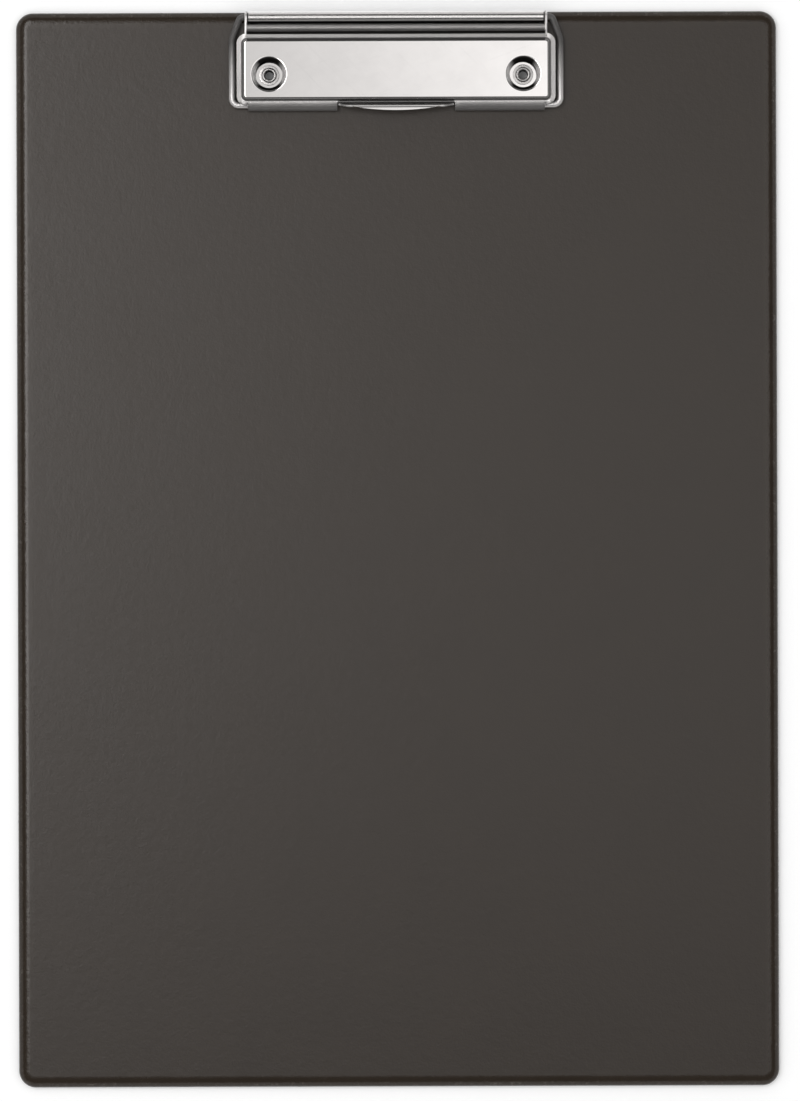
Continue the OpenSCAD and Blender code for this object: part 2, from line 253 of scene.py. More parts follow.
@dataclass(frozen=True)
class Pierced:
    """A flat plate of grid cells with round holes, each in a square block of the grid.

    The ring's shares say how far in from the block's edge each of its rows lies.
    """

    xs: np.ndarray
    ys: np.ndarray
    centres: tuple[tuple[float, float], ...]
    half: float
    radius: float
    ring: tuple[float, ...] = (0, 0.35, 0.65, 0.88, 0.97, 1.0)

    def patches(self, height: float) -> list[np.ndarray]:
        """The plate's cells outside the blocks, and a ring of cells in each block.

        Args:
            height: Height of the plate.

        Returns:
            Grids of points that share their edges.
        """
        found = []
        for x0, x1 in pairwise(self._cuts(0)):
            for y0, y1 in pairwise(self._cuts(1)):
                xs = self.xs[(self.xs > x0 - WELD) & (self.xs < x1 + WELD)]
                ys = self.ys[(self.ys > y0 - WELD) & (self.ys < y1 + WELD)]
                centre = self._centre_in(x0, x1, y0, y1)
                if centre is None:
                    x, y = np.meshgrid(xs, ys)
                    found.append(np.stack([x, y, np.full(x.shape, height)], axis=2))
                else:
                    edge = block_outline(xs, ys)
                    found.append(ring_between(edge, centre, self.radius, np.array(self.ring), height))
        return found

    def rim(self, centre: tuple[float, float]) -> np.ndarray:
        """Directions from a hole's centre at which its ring has points.

        Args:
            centre: The hole's centre.

        Returns:
            The angles in radians, running on through the whole turn.
        """
        xs = self.xs[np.abs(self.xs - centre[0]) < self.half + WELD]
        ys = self.ys[np.abs(self.ys - centre[1]) < self.half + WELD]
        out = block_outline(xs, ys) - np.array(centre)
        return np.unwrap(np.arctan2(out[:, 1], out[:, 0]))

    def _cuts(self, axis: int) -> np.ndarray:
        """Where the blocks begin and end along one axis.

        Args:
            axis: 0 across the plate, 1 along it.

        Returns:
            The cuts in order, with the plate's own ends.
        """
        lines = (self.xs, self.ys)[axis]
        edges = [c[axis] + s * self.half for c in self.centres for s in (-1, 1)]
        return grid_lines([lines[0], *edges, lines[-1]])

    def _centre_in(self, x0: float, x1: float, y0: float, y1: float) -> tuple[float, float] | None:
        """The centre of the hole in this rectangle, if there is one."""
        inside = (c for c in self.centres if x0 < c[0] < x1 and y0 < c[1] < y1)
        return next(inside, None)


# ---- Meshes ----


def skin(name: str, patches: Sequence[np.ndarray]) -> bpy.types.Object:
    """Joins grids of points into one mesh and welds the points that they share.

    Args:
        name: Name of the new object.
        patches: Grids of points, each rows by columns by 3.

    Returns:
        The object, linked to the scene.
    """
    points, faces, first = [], [], 0
    for patch in patches:
        rows, columns = patch.shape[:2]
        points.append(patch.reshape(-1, 3))
        faces.append(grid_faces(rows, columns, first))
        first += rows * columns
    mesh = bpy.data.meshes.new(name)
    mesh.from_pydata(np.concatenate(points).tolist(), [], np.concatenate(faces).tolist())
    work = bmesh.new()
    work.from_mesh(mesh)
    bmesh.ops.remove_doubles(work, verts=work.verts, dist=WELD)
    bmesh.ops.dissolve_degenerate(work, edges=work.edges, dist=WELD / 10)
    bmesh.ops.recalc_face_normals(work, faces=work.faces)
    work.to_mesh(mesh)
    work.free()
    made = bpy.data.objects.new(name, mesh)
    bpy.context.scene.collection.objects.link(made)
    return made


def thicken(piece: bpy.types.Object, thickness: float, offset: float, edge: float) -> None:
    """Gives a sheet its thickness and breaks its cut edges, then keeps the result as plain mesh.

    Args:
        piece: A sheet's middle surface or one of its faces.
        thickness: Thickness of the sheet.
        offset: 0 grows to both sides, -1 grows inwards only.
        edge: Width of the broken edge.
    """
    wall = piece.modifiers.new("wall", "SOLIDIFY")
    wall.thickness, wall.offset, wall.use_even_offset = thickness, offset, True
    if edge > 0:
        broken = piece.modifiers.new("broken_edge", "BEVEL")
        broken.width, broken.segments, broken.limit_method = edge, 2, "ANGLE"
        broken.angle_limit = CUT_EDGE
    settle(piece)


def settle(piece: bpy.types.Object) -> None:
    """Replaces a piece's mesh by its finished mesh, smooth but for its sharp edges.

    Args:
        piece: The piece, with or without modifiers.
    """
    ready = bpy.data.meshes.new_from_object(piece.evaluated_get(bpy.context.evaluated_depsgraph_get()))
    piece.modifiers.clear()
    piece.data = ready
    ready.shade_smooth()
    ready.set_sharp_from_angle(angle=SHARP)


def mark(piece: bpy.types.Object, name: str, values: np.ndarray) -> None:
    """Stores one number per point, which the piece's material reads."""
    layer = piece.data.attributes.new(name, "FLOAT", "POINT")
    layer.data.foreach_set("value", values.astype(np.float32))


def ramp(value: np.ndarray, start: float, stop: float) -> np.ndarray:
    """0 at start and before it, 1 at stop and beyond it; start may be the larger one."""
    return np.clip((value - start) / (stop - start), 0, 1)


def points_of(piece: bpy.types.Object) -> np.ndarray:
    """Reads where a piece's points are.

    Args:
        piece: The piece.

    Returns:
        One row of x, y, z for each point.
    """
    found = np.zeros(len(piece.data.vertices) * 3, np.float32)
    piece.data.vertices.foreach_get("co", found)
    return found.reshape(-1, 3).astype(float)


def dress(piece: bpy.types.Object, finish: bpy.types.Material) -> None:
    """Gives a piece one material in place of what it had."""
    piece.data.materials.clear()
    piece.data.materials.append(finish)


def place(piece: bpy.types.Object, body: Body, slot: Slot, finish: bpy.types.Material, node: str) -> None:
    """Dresses a finished piece and puts it on its body, in place of the CAD node that it stands for.

    Args:
        piece: The piece.
        body: What it rides on.
        slot: The record's slot of its material; not used.
        finish: Its material.
        node: The CAD node that it replaces.
    """
    dress(piece, finish)
    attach(piece, body.value)
    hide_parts(node)
    log.info("%s: %d faces, for %s", piece.name, len(piece.data.polygons), node)


# ---- Finishes ----


class Tree:
    """A short way to add and join the nodes of a material or of a node group."""

    def __init__(self, tree: bpy.types.NodeTree) -> None:
        """Keeps the tree."""
        self.tree = tree

    def add(self, kind: str, inputs: dict | None = None, **settings: object) -> bpy.types.Node:
        """Adds a node, sets its properties, and sets or joins its inputs.

        Args:
            kind: Blender's name of the node's type.
            inputs: Socket name or number to a value or to another node's output.
            settings: Properties of the node itself.

        Returns:
            The node.
        """
        node = self.tree.nodes.new(kind)
        for key, value in settings.items():
            setattr(node, key, value)
        self.feed(node, inputs or {})
        return node

    def feed(self, node: bpy.types.Node, inputs: dict) -> None:
        """Sets inputs of a node, or joins them to other nodes.

        Args:
            node: The node.
            inputs: Socket name or number to a value or to another node's output.
        """
        for key, value in inputs.items():
            if isinstance(value, bpy.types.NodeSocket):
                self.tree.links.new(value, node.inputs[key])
            else:
                node.inputs[key].default_value = value

    def math(self, operation: str, *values: Value) -> bpy.types.NodeSocket:
        """The result of a Math node on numbers or sockets."""
        return self.add("ShaderNodeMath", dict(enumerate(values)), operation=operation).outputs[0]

    def weighed(self, first: Value, share: float, second: Value, other_share: float) -> bpy.types.NodeSocket:
        """The sum of two values, each times its share."""
        parts = self.math("MULTIPLY", first, share), self.math("MULTIPLY", second, other_share)
        return self.math("ADD", *parts)

    def noise(self, where: bpy.types.NodeSocket, scale: Value, detail: float = 2.0,
              rough: float = 0.5) -> bpy.types.NodeSocket:
        """A noise value round 0.5, with scale features to the metre."""
        return self.add("ShaderNodeTexNoise", {"Vector": where, "Scale": scale, "Detail": detail,
                                               "Roughness": rough}).outputs[0]

    def spread(self, value: Value, low: float, high: float, to_low: float = 0.0,
               to_high: float = 1.0) -> bpy.types.NodeSocket:
        """A value moved evenly from one range to another, and held inside it."""
        return self.add("ShaderNodeMapRange", {"Value": value, "From Min": low, "From Max": high,
                                               "To Min": to_low, "To Max": to_high}, clamp=True).outputs[0]

    def blend(self, share: Value, first: Sequence[float] | bpy.types.NodeSocket,
              second: Sequence[float]) -> bpy.types.NodeSocket:
        """A colour between two colours."""
        return self.add("ShaderNodeMix", {0: share, 6: first, 7: second}, data_type="RGBA").outputs[2]

    def bump(self, height: bpy.types.NodeSocket, depth: float) -> bpy.types.NodeSocket:
        """The normal of a surface that height raises by depth metres."""
        return self.add("ShaderNodeBump", {"Strength": 1.0, "Distance": depth, "Height": height}).outputs[0]

    def group(self, tree: bpy.types.NodeTree, inputs: dict) -> bpy.types.Node:
        """Places a node group with its inputs."""
        return self.add("ShaderNodeGroup", inputs, node_tree=tree)

    def mask(self, name: str) -> bpy.types.NodeSocket:
        """A number that the piece's mesh carries at each point."""
        return self.add("ShaderNodeAttribute", attribute_name=name).outputs["Fac"]


def new_group(name: str, inputs: Sequence[tuple[str, str]], outputs: Sequence[tuple[str, str]]
              ) -> tuple[Tree, bpy.types.Node, bpy.types.Node]:
    """Starts a node group.

    Args:
        name: Name of the group.
        inputs: Name and socket type of each input.
        outputs: Name and socket type of each output.

    Returns:
        The group's tree, its input node and its output node.
    """
    tree = bpy.data.node_groups.new(name, "ShaderNodeTree")
    for label, kind in inputs:
        tree.interface.new_socket(label, in_out="INPUT", socket_type=kind)
    for label, kind in outputs:
        tree.interface.new_socket(label, in_out="OUTPUT", socket_type=kind)
    made = Tree(tree)
    return made, made.add("NodeGroupInput"), made.add("NodeGroupOutput")


def new_material(name: str) -> tuple[bpy.types.Material, Tree, bpy.types.Node]:
    """Starts a material.

    Args:
        name: Name of the material.

    Returns:
        The material, its tree and its surface shader.
    """
    made = bpy.data.materials.new(name)
    made.use_nodes = True
    return made, Tree(made.node_tree), made.node_tree.nodes["Principled BSDF"]


def grain_group() -> bpy.types.NodeTree:
    """Embossed foil: soft pebbles, finer grain on them, and broad uneven patches of tone.

    Returns:
        The group, which gives the grain's height and the tone.
    """
    made, given, out = new_group(
        "embossed_grain",
        [("Vector", "NodeSocketVector"), ("Pebbles", "NodeSocketFloat"), ("Patches", "NodeSocketFloat")],
        [("Height", "NodeSocketFloat"), ("Tone", "NodeSocketFloat")],
    )
    where, pebbles, patches = given.outputs[:3]
    wobble = made.add("ShaderNodeTexNoise", {"Vector": where, "Scale": 900.0, "Detail": 1.0})
    swing = made.add("ShaderNodeVectorMath", {0: wobble.outputs["Color"], "Scale": 0.6 * MM},
                     operation="SCALE")
    bent = made.add("ShaderNodeVectorMath", {0: where, 1: swing.outputs[0]}, operation="ADD")
    pebble = made.add("ShaderNodeTexVoronoi", {"Vector": bent.outputs[0], "Scale": pebbles,
                                               "Smoothness": 0.6}, feature="SMOOTH_F1")
    fine, soft = made.noise(where, 5200.0, 2.0, 0.6), made.noise(where, 420.0, 3.0, 0.55)
    height = made.math("ADD", made.math("MULTIPLY", pebble.outputs[0], -0.35),
                       made.weighed(fine, 0.12, soft, 1.0))
    made.feed(out, {"Height": height, "Tone": made.noise(where, patches, 4.0, 0.62)})
    return made.tree


def handling_group() -> bpy.types.NodeTree:
    """Plated metal in use: faint haze in broad clouds and hairline scratches in two directions.

    Returns:
        The group, which gives the haze and the scratches.
    """
    made, given, out = new_group(
        "handled_metal",
        [("Vector", "NodeSocketVector"), ("Clouds", "NodeSocketFloat")],
        [("Haze", "NodeSocketFloat"), ("Scratch", "NodeSocketFloat")],
    )
    where, clouds = given.outputs[:2]
    haze = made.spread(made.noise(where, clouds, 3.0, 0.6), 0.42, 0.72)
    scratches = []
    for turn, across in ((0.35, 2600.0), (-0.8, 2100.0)):
        turned = made.add("ShaderNodeMapping", {"Vector": where, "Rotation": (0, 0, turn),
                                                "Scale": (0.02, 1 / across, 0.02)}, vector_type="TEXTURE")
        scratches.append(made.spread(made.noise(turned.outputs[0], 1.0, 0.0), 0.72, 0.82))
    made.feed(out, {"Haze": haze, "Scratch": made.math("MAXIMUM", *scratches)})
    return made.tree


@dataclass(frozen=True)
class Finish:
    """What every finish has: a name and the linear colour of its clean surface."""

    name: str
    colour: tuple[float, float, float]

    def start(self) -> tuple[bpy.types.Material, Tree, bpy.types.Node, bpy.types.NodeSocket]:
        """Makes the empty material.

        Returns:
            The material, its tree, its surface shader and the object coordinates.
        """
        made, tree, surface = new_material(self.name)
        return made, tree, surface, tree.add("ShaderNodeTexCoord").outputs["Object"]

    def shade(self, share: float) -> tuple[float, ...]:
        """The clean colour made darker or lighter, with full alpha."""
        return tuple(share * c for c in self.colour) + (1.0,)


@dataclass(frozen=True)
class FoilFinish(Finish):
    """Grained bookbinder's foil: embossed pebbles, uneven tone, and a paler rub where it turns an edge.

    The piece's mesh says where its edges are rubbed, and where the rim drew the foil smooth.
    """

    rubbed: tuple[float, float, float] = (0.2, 0.185, 0.17)
    rub: float = 0.3
    tones: Span = (0.93, 1.07)
    gloss: float = 0.5
    rim_gloss: float = 0.0
    specular: float = 0.45
    pebbles: float = 1500.0
    depth: float = 0.05 * MM
    patches: float = 55.0

    def make(self, grain: bpy.types.NodeTree) -> bpy.types.Material:
        """Builds the material.

        Args:
            grain: The shared grain group.

        Returns:
            The material.
        """
        made, tree, surface, where = self.start()
        emboss = tree.group(grain, {"Vector": where, "Pebbles": self.pebbles, "Patches": self.patches})
        height, tone = emboss.outputs
        dark, light = self.shade(self.tones[0]), self.shade(self.tones[1])
        ground = tree.blend(tree.spread(tone, 0.3, 0.7), dark, light)
        broken = tree.spread(tree.noise(where, 700.0, 3.0, 0.7), 0.56, 0.76, 0.0, self.rub)
        colour = tree.blend(tree.math("MULTIPLY", tree.mask("edge"), broken), ground, self.rubbed + (1.0,))
        rough = tree.spread(tree.weighed(tone, 0.6, height, 0.4), 0.0, 0.7, self.gloss - 0.05,
                            self.gloss + 0.06)
        drawn = tree.math("MULTIPLY", tree.mask("rim"), -self.rim_gloss)
        tree.feed(surface, {"Base Color": colour, "Roughness": tree.math("ADD", rough, drawn),
                            "Normal": tree.bump(height, self.depth), "Specular IOR Level": self.specular})
        return made


@dataclass(frozen=True)
class PlatedFinish(Finish):
    """Bright plated steel: a mirror with faint haze, hairlines, and the slight ripple of pressed sheet.

    The piece's mesh says where the plating is dull from bending, and where shade and dark reflections are
    painted into its colour as a near-black.
    """

    polish: float = 0.05
    haze: float = 0.06
    clouds: float = 90.0
    hazed: float = 0.93
    ripples: float = 160.0
    ripple: float = 0.0006 * MM
    bent: float = 0.3
    # Painted shade: the near-black colour that the mesh's painted-shade mark draws the plating to, where it
    # lies in shade or reflects dark, and the roughness added there.
    painted_shade_colour: tuple[float, float, float] = (0.02, 0.019, 0.018)
    painted_shade_matt: float = 0.3

    def make(self, handling: bpy.types.NodeTree) -> bpy.types.Material:
        """Builds the material.

        Args:
            handling: The shared group of haze and scratches.

        Returns:
            The material.
        """
        made, tree, surface, where = self.start()
        use = tree.group(handling, {"Vector": where, "Clouds": self.clouds})
        worn = tree.weighed(use.outputs["Haze"], 0.7, use.outputs["Scratch"], 0.3)
        painted_shade, bent = tree.mask("painted_shade"), tree.mask("bent")
        rough = tree.math("ADD", tree.math("MULTIPLY", worn, self.haze), self.polish)
        rough = tree.math("ADD", rough, tree.weighed(bent, self.bent, painted_shade, self.painted_shade_matt))
        clean = tree.blend(worn, self.shade(1.0), self.shade(self.hazed))
        normal = tree.bump(tree.noise(where, self.ripples, 1.0), self.ripple)
        # Painted shade: the colour is drawn to near-black where the mesh marks painted shade.
        tree.feed(surface, {"Base Color": tree.blend(painted_shade, clean, self.painted_shade_colour + (1.0,)), "Roughness": rough,
                            "Normal": normal, "Metallic": 1.0})
        return made


@dataclass(frozen=True)
class BoardFinish(Finish):
    """Pressed greyboard: matt, with pale and dark fibres lying along the sheet."""

    tones: Span = (0.7, 1.2)
    fibres: tuple[float, float, float] = (900.0, 2600.0, 5200.0)
    depth: float = 0.04 * MM
    matt: float = 0.9

    def make(self) -> bpy.types.Material:
        """Builds the material.

        Returns:
            The material.
        """
        made, tree, surface, where = self.start()
        along = tree.add("ShaderNodeMapping", {"Vector": where, "Scale": self.fibres})
        fibre = tree.noise(along.outputs[0], 1.0, 4.0, 0.7)
        dark, light = self.shade(self.tones[0]), self.shade(self.tones[1])
        colour = tree.blend(tree.spread(fibre, 0.35, 0.65), dark, light)
        tree.feed(surface, {"Base Color": colour, "Normal": tree.bump(fibre, self.depth),
                            "Roughness": self.matt})
        return made


@dataclass
class Finishes:
    """Every material of the clipboard, made once."""

    grain: bpy.types.NodeTree = field(default_factory=grain_group)
    handling: bpy.types.NodeTree = field(default_factory=handling_group)

    def __post_init__(self) -> None:
        """Makes the materials from the two shared groups."""
        self.cover = FoilFinish("charcoal_foil", (0.0213, 0.0147, 0.0094), gloss=0.34, rim_gloss=0.16,
                                specular=0.56).make(self.grain)
        self.lining = FoilFinish("lining_foil", (0.045, 0.042, 0.04), gloss=0.6, pebbles=2600.0,
                                 depth=0.02 * MM).make(self.grain)
        self.sheet = PlatedFinish("chromed_sheet", (0.9, 0.893, 0.89)).make(self.handling)
        self.wire = PlatedFinish("chromed_wire", (0.92, 0.913, 0.91), polish=0.4).make(self.handling)
        self.rivet = PlatedFinish("plated_rivet", (0.55, 0.545, 0.54), polish=0.26, haze=0.2,
                                  clouds=900.0).make(self.handling)
        self.greyboard = BoardFinish("greyboard", (0.3, 0.26, 0.21)).make()


# ---- Board ----


@dataclass
class Panel:
    """The covered board: cover foil with its rounded rim, lining sheet, and the greyboard inside."""

    high: np.ndarray
    rivets: tuple[tuple[float, float], ...]
    corner: float = 5.0 * MM
    edge_run: float = 3.6 * MM
    edge_drop: float = 1.9 * MM
    back_edge: float = 0.5 * MM
    foil: float = 0.25 * MM
    turn_in: float = 14.0 * MM
    lining: float = 0.2 * MM
    border: float = 3.5 * MM
    hole: float = 1.8 * MM
    seat: float = 4.3 * MM
    block: float = 6.0 * MM
    block_parts: int = 12
    cell: float = 6.0 * MM
    rub_inset: float = 0.8 * MM
    rub_half: float = 0.9 * MM
    drawn_past: float = 0.6 * MM
    step_start: float = 0.6 * MM
    step_run: float = 1.6 * MM
    step_rows: tuple[float, ...] = (0, 0.2, 0.4, 0.6, 0.8, 1.0)

    def build(self, finishes: Finishes) -> None:
        """Builds the cover and the lining, and dresses the greyboard.

        Args:
            finishes: The clipboard's materials.
        """
        place(self.cover(), Body.BOARD, Slot.COVER, finishes.cover, "front_cover")
        place(self.back_sheet(), Body.BOARD, Slot.LINING, finishes.lining, "back_lining")
        dress(frame["nodes"]["core_board"], finishes.greyboard)

    def lines(self, axis: int, inset: float) -> np.ndarray:
        """Grid lines across the board along one axis, closer together over the rivets' blocks.

        Args:
            axis: 0 for lines across the board, 1 for lines along it.
            inset: How far inside the outline the first and the last line lie.

        Returns:
            The sorted lines.
        """
        reach, runs = self.high[axis] - inset, []
        edges = sorted({round(c[axis] + s * self.block, PLACES) for c in self.rivets for s in (-1, 1)})
        for a, b in pairwise([-reach, *edges, reach]):
            over_block = abs((b - a) - 2 * self.block) < WELD
            parts = self.block_parts if over_block else max(2, math.ceil((b - a) / self.cell))
            runs.append(np.linspace(a, b, parts + 1))
        return grid_lines(*runs)

    def rim_line(self) -> np.ndarray:
        """Section of the rim outwards from the corner's centre: flat, oval, side, round, and the back.

        Returns:
            The section's points as (distance from the corner's centre, height).
        """
        top, back, reach = self.high[2], self.lining, self.corner
        run, drop, small = self.edge_run, self.edge_drop, self.back_edge
        flat = stations(0, reach - run, 1)
        return np.concatenate([
            np.stack([flat, np.full(len(flat), top)], axis=1),
            oval_arc((reach - run, top - drop), run, drop, 90, 0, 28)[1:],
            oval_arc((reach - small, back + small), small, small, 0, -90, 10),
            [[reach - small - GUARD, back], [0, back]],
        ])

    def cover(self) -> bpy.types.Object:
        """The cover: flat top with its holes, rim all round, and the turned-in border on the back.

        Returns:
            The finished foil, marked where it is rubbed and where the rim drew it smooth.
        """
        xs, ys = self.lines(0, self.corner), self.lines(1, self.corner)
        top = Pierced(xs, ys, self.rivets, self.block, self.hole)
        patches, line = top.patches(self.high[2]), self.rim_line()
        for side in (-1, 1):
            patches += [self.straight(xs, side, ys[-1], line, 0), self.straight(ys, side, xs[-1], line, 1)]
            patches += [self.turned_in(xs, side, ys[-1], 0), self.turned_in(ys, side, xs[-1], 1)]
            for other in (-1, 1):
                a = np.radians(np.linspace(0, 90, 25))
                turned = revolve(line, (0.0, 0.0), a) * [side, other, 1] + [side * xs[-1], other * ys[-1], 0]
                patches.append(turned)
        made = skin("cover_foil_skin", patches)
        thicken(made, self.foil, -1.0, 0.0)
        inset = self.rim_inset(points_of(made))
        mark(made, "edge", ramp(np.abs(inset - self.rub_inset), self.rub_half, 0.0))
        drawn = self.edge_run + self.drawn_past
        mark(made, "rim", ramp(inset, drawn, drawn - self.edge_run / 2))
        return made

    def rim_inset(self, p: np.ndarray) -> np.ndarray:
        """Distance of each point inside the board's outline, the corners being quarter circles."""
        over = np.abs(p[:, :2]) - (self.high[:2] - self.corner)
        return self.corner - np.linalg.norm(np.maximum(over, 0), axis=1)

    def straight(self, along: np.ndarray, side: int, reach: float, line: np.ndarray, axis: int) -> np.ndarray:
        """The rim's section carried along one side of the board.

        Args:
            along: Grid lines along the side.
            side: -1 or 1, which of the two sides.
            reach: Distance of the corners' centres from the middle.
            line: The rim's section.
            axis: 0 for a side that runs across the board, 1 for one that runs along it.

        Returns:
            A grid of points.
        """
        return self.side_grid(along[:, None], side * (reach + line[None, :, 0]), line[None, :, 1], axis)

    def turned_in(self, along: np.ndarray, side: int, reach: float, axis: int) -> np.ndarray:
        """The foil on the back from the corner's centre line in to its cut edge, mitred at the ends.

        Args:
            along: Grid lines along the side.
            side: -1 or 1, which of the two sides.
            reach: Distance of the corners' centres from the middle.
            axis: 0 for a side that runs across the board, 1 for one that runs along it.

        Returns:
            A grid of points.
        """
        inner = self.high[:2] - self.turn_in
        share = np.array([0.0, 1.0])[None, :]
        a = along[:, None] * (1 - share) + along[:, None] * (inner[axis] / along[-1]) * share
        out = side * (reach * (1 - share) + inner[1 - axis] * share)
        return self.side_grid(a, out, np.array(self.lining), axis)

    @staticmethod
    def side_grid(along: np.ndarray, out: np.ndarray, height: np.ndarray, axis: int) -> np.ndarray:
        """One side's points from their places along it, out from the middle, and up."""
        a, o, h = np.broadcast_arrays(along, out, height)
        return np.stack([a, o, h] if axis == 0 else [o, a, h], axis=2)

    def back_sheet(self) -> bpy.types.Object:
        """The lining: on the turned-in foil round its border, and on the greyboard inside that.

        Over the foil's cut edge its height follows t * t * (3 - 2 t), for t from 0 to 1 across the step.

        Returns:
            The finished sheet.
        """
        steps = np.array(self.step_rows) * self.step_run + self.turn_in - self.step_start
        xs, ys = (grid_lines(self.lines(axis, self.border), self.high[axis] - steps, steps - self.high[axis])
                  for axis in (0, 1))
        made = skin("lining_skin", Pierced(xs, ys, self.rivets, self.block, self.seat).patches(0.0))
        p = points_of(made)
        t = ramp(np.min(self.high[:2] - np.abs(p[:, :2]), axis=1), steps[0], steps[-1])
        p[:, 2] = self.lining / 2 + self.foil * t * t * (3 - 2 * t)
        p[:, :2] = self.rounded(p[:, :2])
        made.data.vertices.foreach_set("co", p.astype(np.float32).ravel())
        thicken(made, self.lining, 0.0, 0.0)
        for name in ("edge", "rim"):
            mark(made, name, np.zeros(len(made.data.vertices)))
        return made

    def rounded(self, plan: np.ndarray) -> np.ndarray:
        """Pulls the lining's square corners in to quarter circles.

        Beyond a corner's centre, the square's ring at distance d becomes the circle's ring of radius d.

        Args:
            plan: Points of the lining as rows of x, y.

        Returns:
            The points after the pull.
        """
        centre = self.high[:2] - self.corner
        over = np.abs(plan) - centre
        far = np.maximum(over, 0)
        length = np.linalg.norm(far, axis=1)
        pull = np.where(length > 0, np.max(far, axis=1) / np.maximum(length, WELD * WELD), 1.0)
        return np.where(over > 0, np.sign(plan) * (centre + far * pull[:, None]), plan)


# ---- Clip ----


@dataclass
class Clip:
    """Sizes that the clip's pieces share, and the step from its profiles to the frame."""

    hinge_y: float
    hinge_z: float
    top: float
    lever_t: float = 0.7 * MM
    base_t: float = 0.8 * MM
    wire_r: float = 1.0 * MM
    wire_fit: float = 0.05 * MM
    half_plateau: float = 44.4 * MM
    plateau_back: float = 7.506 * MM
    plateau_l: float = 16.1 * MM
    base_inset: float = 0.9 * MM
    jaw_level: float = 0.9 * MM
    emboss: float = 1.2 * MM
    slope: float = 60.0
    bend_r: float = 0.65 * MM
    rivet_inset: float = 6.9 * MM
    rivet_setback: float = 6.6 * MM
    over_wire: float = 0.02 * MM

    def __post_init__(self) -> None:
        """Works out the heights and places that follow from the sizes."""
        self.axis_h = self.hinge_z - self.top
        self.bore = self.wire_r + self.wire_fit
        self.level = self.axis_h + self.bore + self.lever_t / 2 + self.over_wire
        self.plateau = self.level + self.emboss
        self.plateau_front = self.plateau_back + self.plateau_l
        self.wall_run = step_run(self.emboss, self.slope, self.bend_r)
        self.jaw_reach = self.plateau_front + self.wall_run + self.jaw_level
        self.rivet = (self.half_plateau - self.rivet_inset, self.plateau_front - self.rivet_setback)
        self.holes = ((-self.rivet[0], self.rivet[1]), self.rivet)

    def lay(self, across: np.ndarray, front: np.ndarray, height: np.ndarray) -> np.ndarray:
        """Puts places on the clip into the frame.

        Args:
            across: Distances to the right of the middle.
            front: Distances in front of the hinge.
            height: Heights over the writing face.

        Returns:
            A grid of points.
        """
        x, v, h = np.broadcast_arrays(across, front, height)
        return np.stack([x, self.hinge_y - v, self.top + h], axis=2)

    def lay_grid(self, grid: np.ndarray) -> np.ndarray:
        """Puts a grid of (across, in front of the hinge, over the face) into the frame."""
        return self.lay(grid[..., 0], grid[..., 1], grid[..., 2])

    def rivets(self) -> tuple[tuple[float, float], ...]:
        """The rivets' places in the frame."""
        return tuple((side * self.rivet[0], self.hinge_y - self.rivet[1]) for side in (-1, 1))

    def taken(self, piece: bpy.types.Object) -> tuple[np.ndarray, np.ndarray, np.ndarray]:
        """The piece's points as (across, in front of the hinge, over the face)."""
        p = points_of(piece)
        return p[:, 0], self.hinge_y - p[:, 1], p[:, 2] - self.top


@dataclass
class BasePlate:
    """The lower plate: flat on the board, with its back edge rolled up round the wire."""

    clip: Clip
    setback: float = 2.2 * MM
    corner: float = 3.0 * MM
    roll: float = 305.0
    lead: float = 0.5 * MM
    hole: float = 1.8 * MM
    block: float = 3.4 * MM
    block_parts: int = 12
    edge: float = 0.1 * MM
    # Painted shade on the front of the roll and the flat just ahead of it, under the lever's heel: where it
    # starts, where it ends, and the heights over which it fades out.
    painted_shade_starts: Span = (0.35 * MM, 1.0 * MM)
    painted_shade_ends: Span = (4.0 * MM, 3.0 * MM)
    painted_shade_top: Span = (3.6 * MM, 3.1 * MM)
    bent_ends: Span = (2.5 * MM, 1.9 * MM)
    bent: float = 0.5

    def build(self, finishes: Finishes) -> None:
        """Builds the plate as a sheet's middle surface and thickens it.

        Args:
            finishes: The clipboard's materials.
        """
        made = skin("base_plate_skin", self.patches())
        thicken(made, self.clip.base_t, 0.0, self.edge)
        _, v, h = self.clip.taken(made)
        # Painted shade under the lever's heel, below the roll's crest.
        under_wire = ramp(v, *self.painted_shade_starts) * ramp(v, *self.painted_shade_ends)
        mark(made, "painted_shade", under_wire * ramp(h, *self.painted_shade_top))
        mark(made, "bent", self.bent * ramp(v, *self.bent_ends))
        place(made, Body.BOARD, Slot.SHEET, finishes.sheet, "base_plate")

    def patches(self) -> list[np.ndarray]:
        """The middle surface: the flat with its holes, the front with its round corners, and the roll.

        The front's points are (x (half - c + c cos a) / half, depth sin a), c being the corner's radius.

        Returns:
            Grids of points that share their edges.
        """
        clip, block, parts = self.clip, self.block, self.block_parts
        half, middle = clip.half_plateau - clip.base_inset, clip.base_t / 2
        rx, rv = clip.rivet
        xs = grid_lines(stations(-half, -rx - block, 2), about(-rx, block, parts),
                        np.linspace(block - rx, rx - block, 12), about(rx, block, parts),
                        stations(rx + block, half, 2))
        vs = grid_lines(stations(self.lead, rv - block, 6), about(rv, block, parts))
        flat = Pierced(xs, vs, clip.holes, block, self.hole)
        found = [clip.lay_grid(grid) for grid in flat.patches(middle)]
        depth = clip.jaw_reach - (clip.bore + clip.lever_t) - self.setback - vs[-1]
        a = np.radians(np.linspace(0, 90, 13))[:, None]
        share = (half - self.corner + self.corner * np.cos(a)) / half
        found.append(clip.lay(xs[None] * share, vs[-1] + depth * np.sin(a), middle))
        roll_r = clip.bore + middle
        roll = bend_line([Bend(0, -self.roll, roll_r)], (0.0, clip.axis_h - roll_r), 180)
        line = np.vstack([[self.lead, middle], roll])
        found.append(clip.lay(xs[:, None], line[None, :, 0], line[None, :, 1]))
        return found


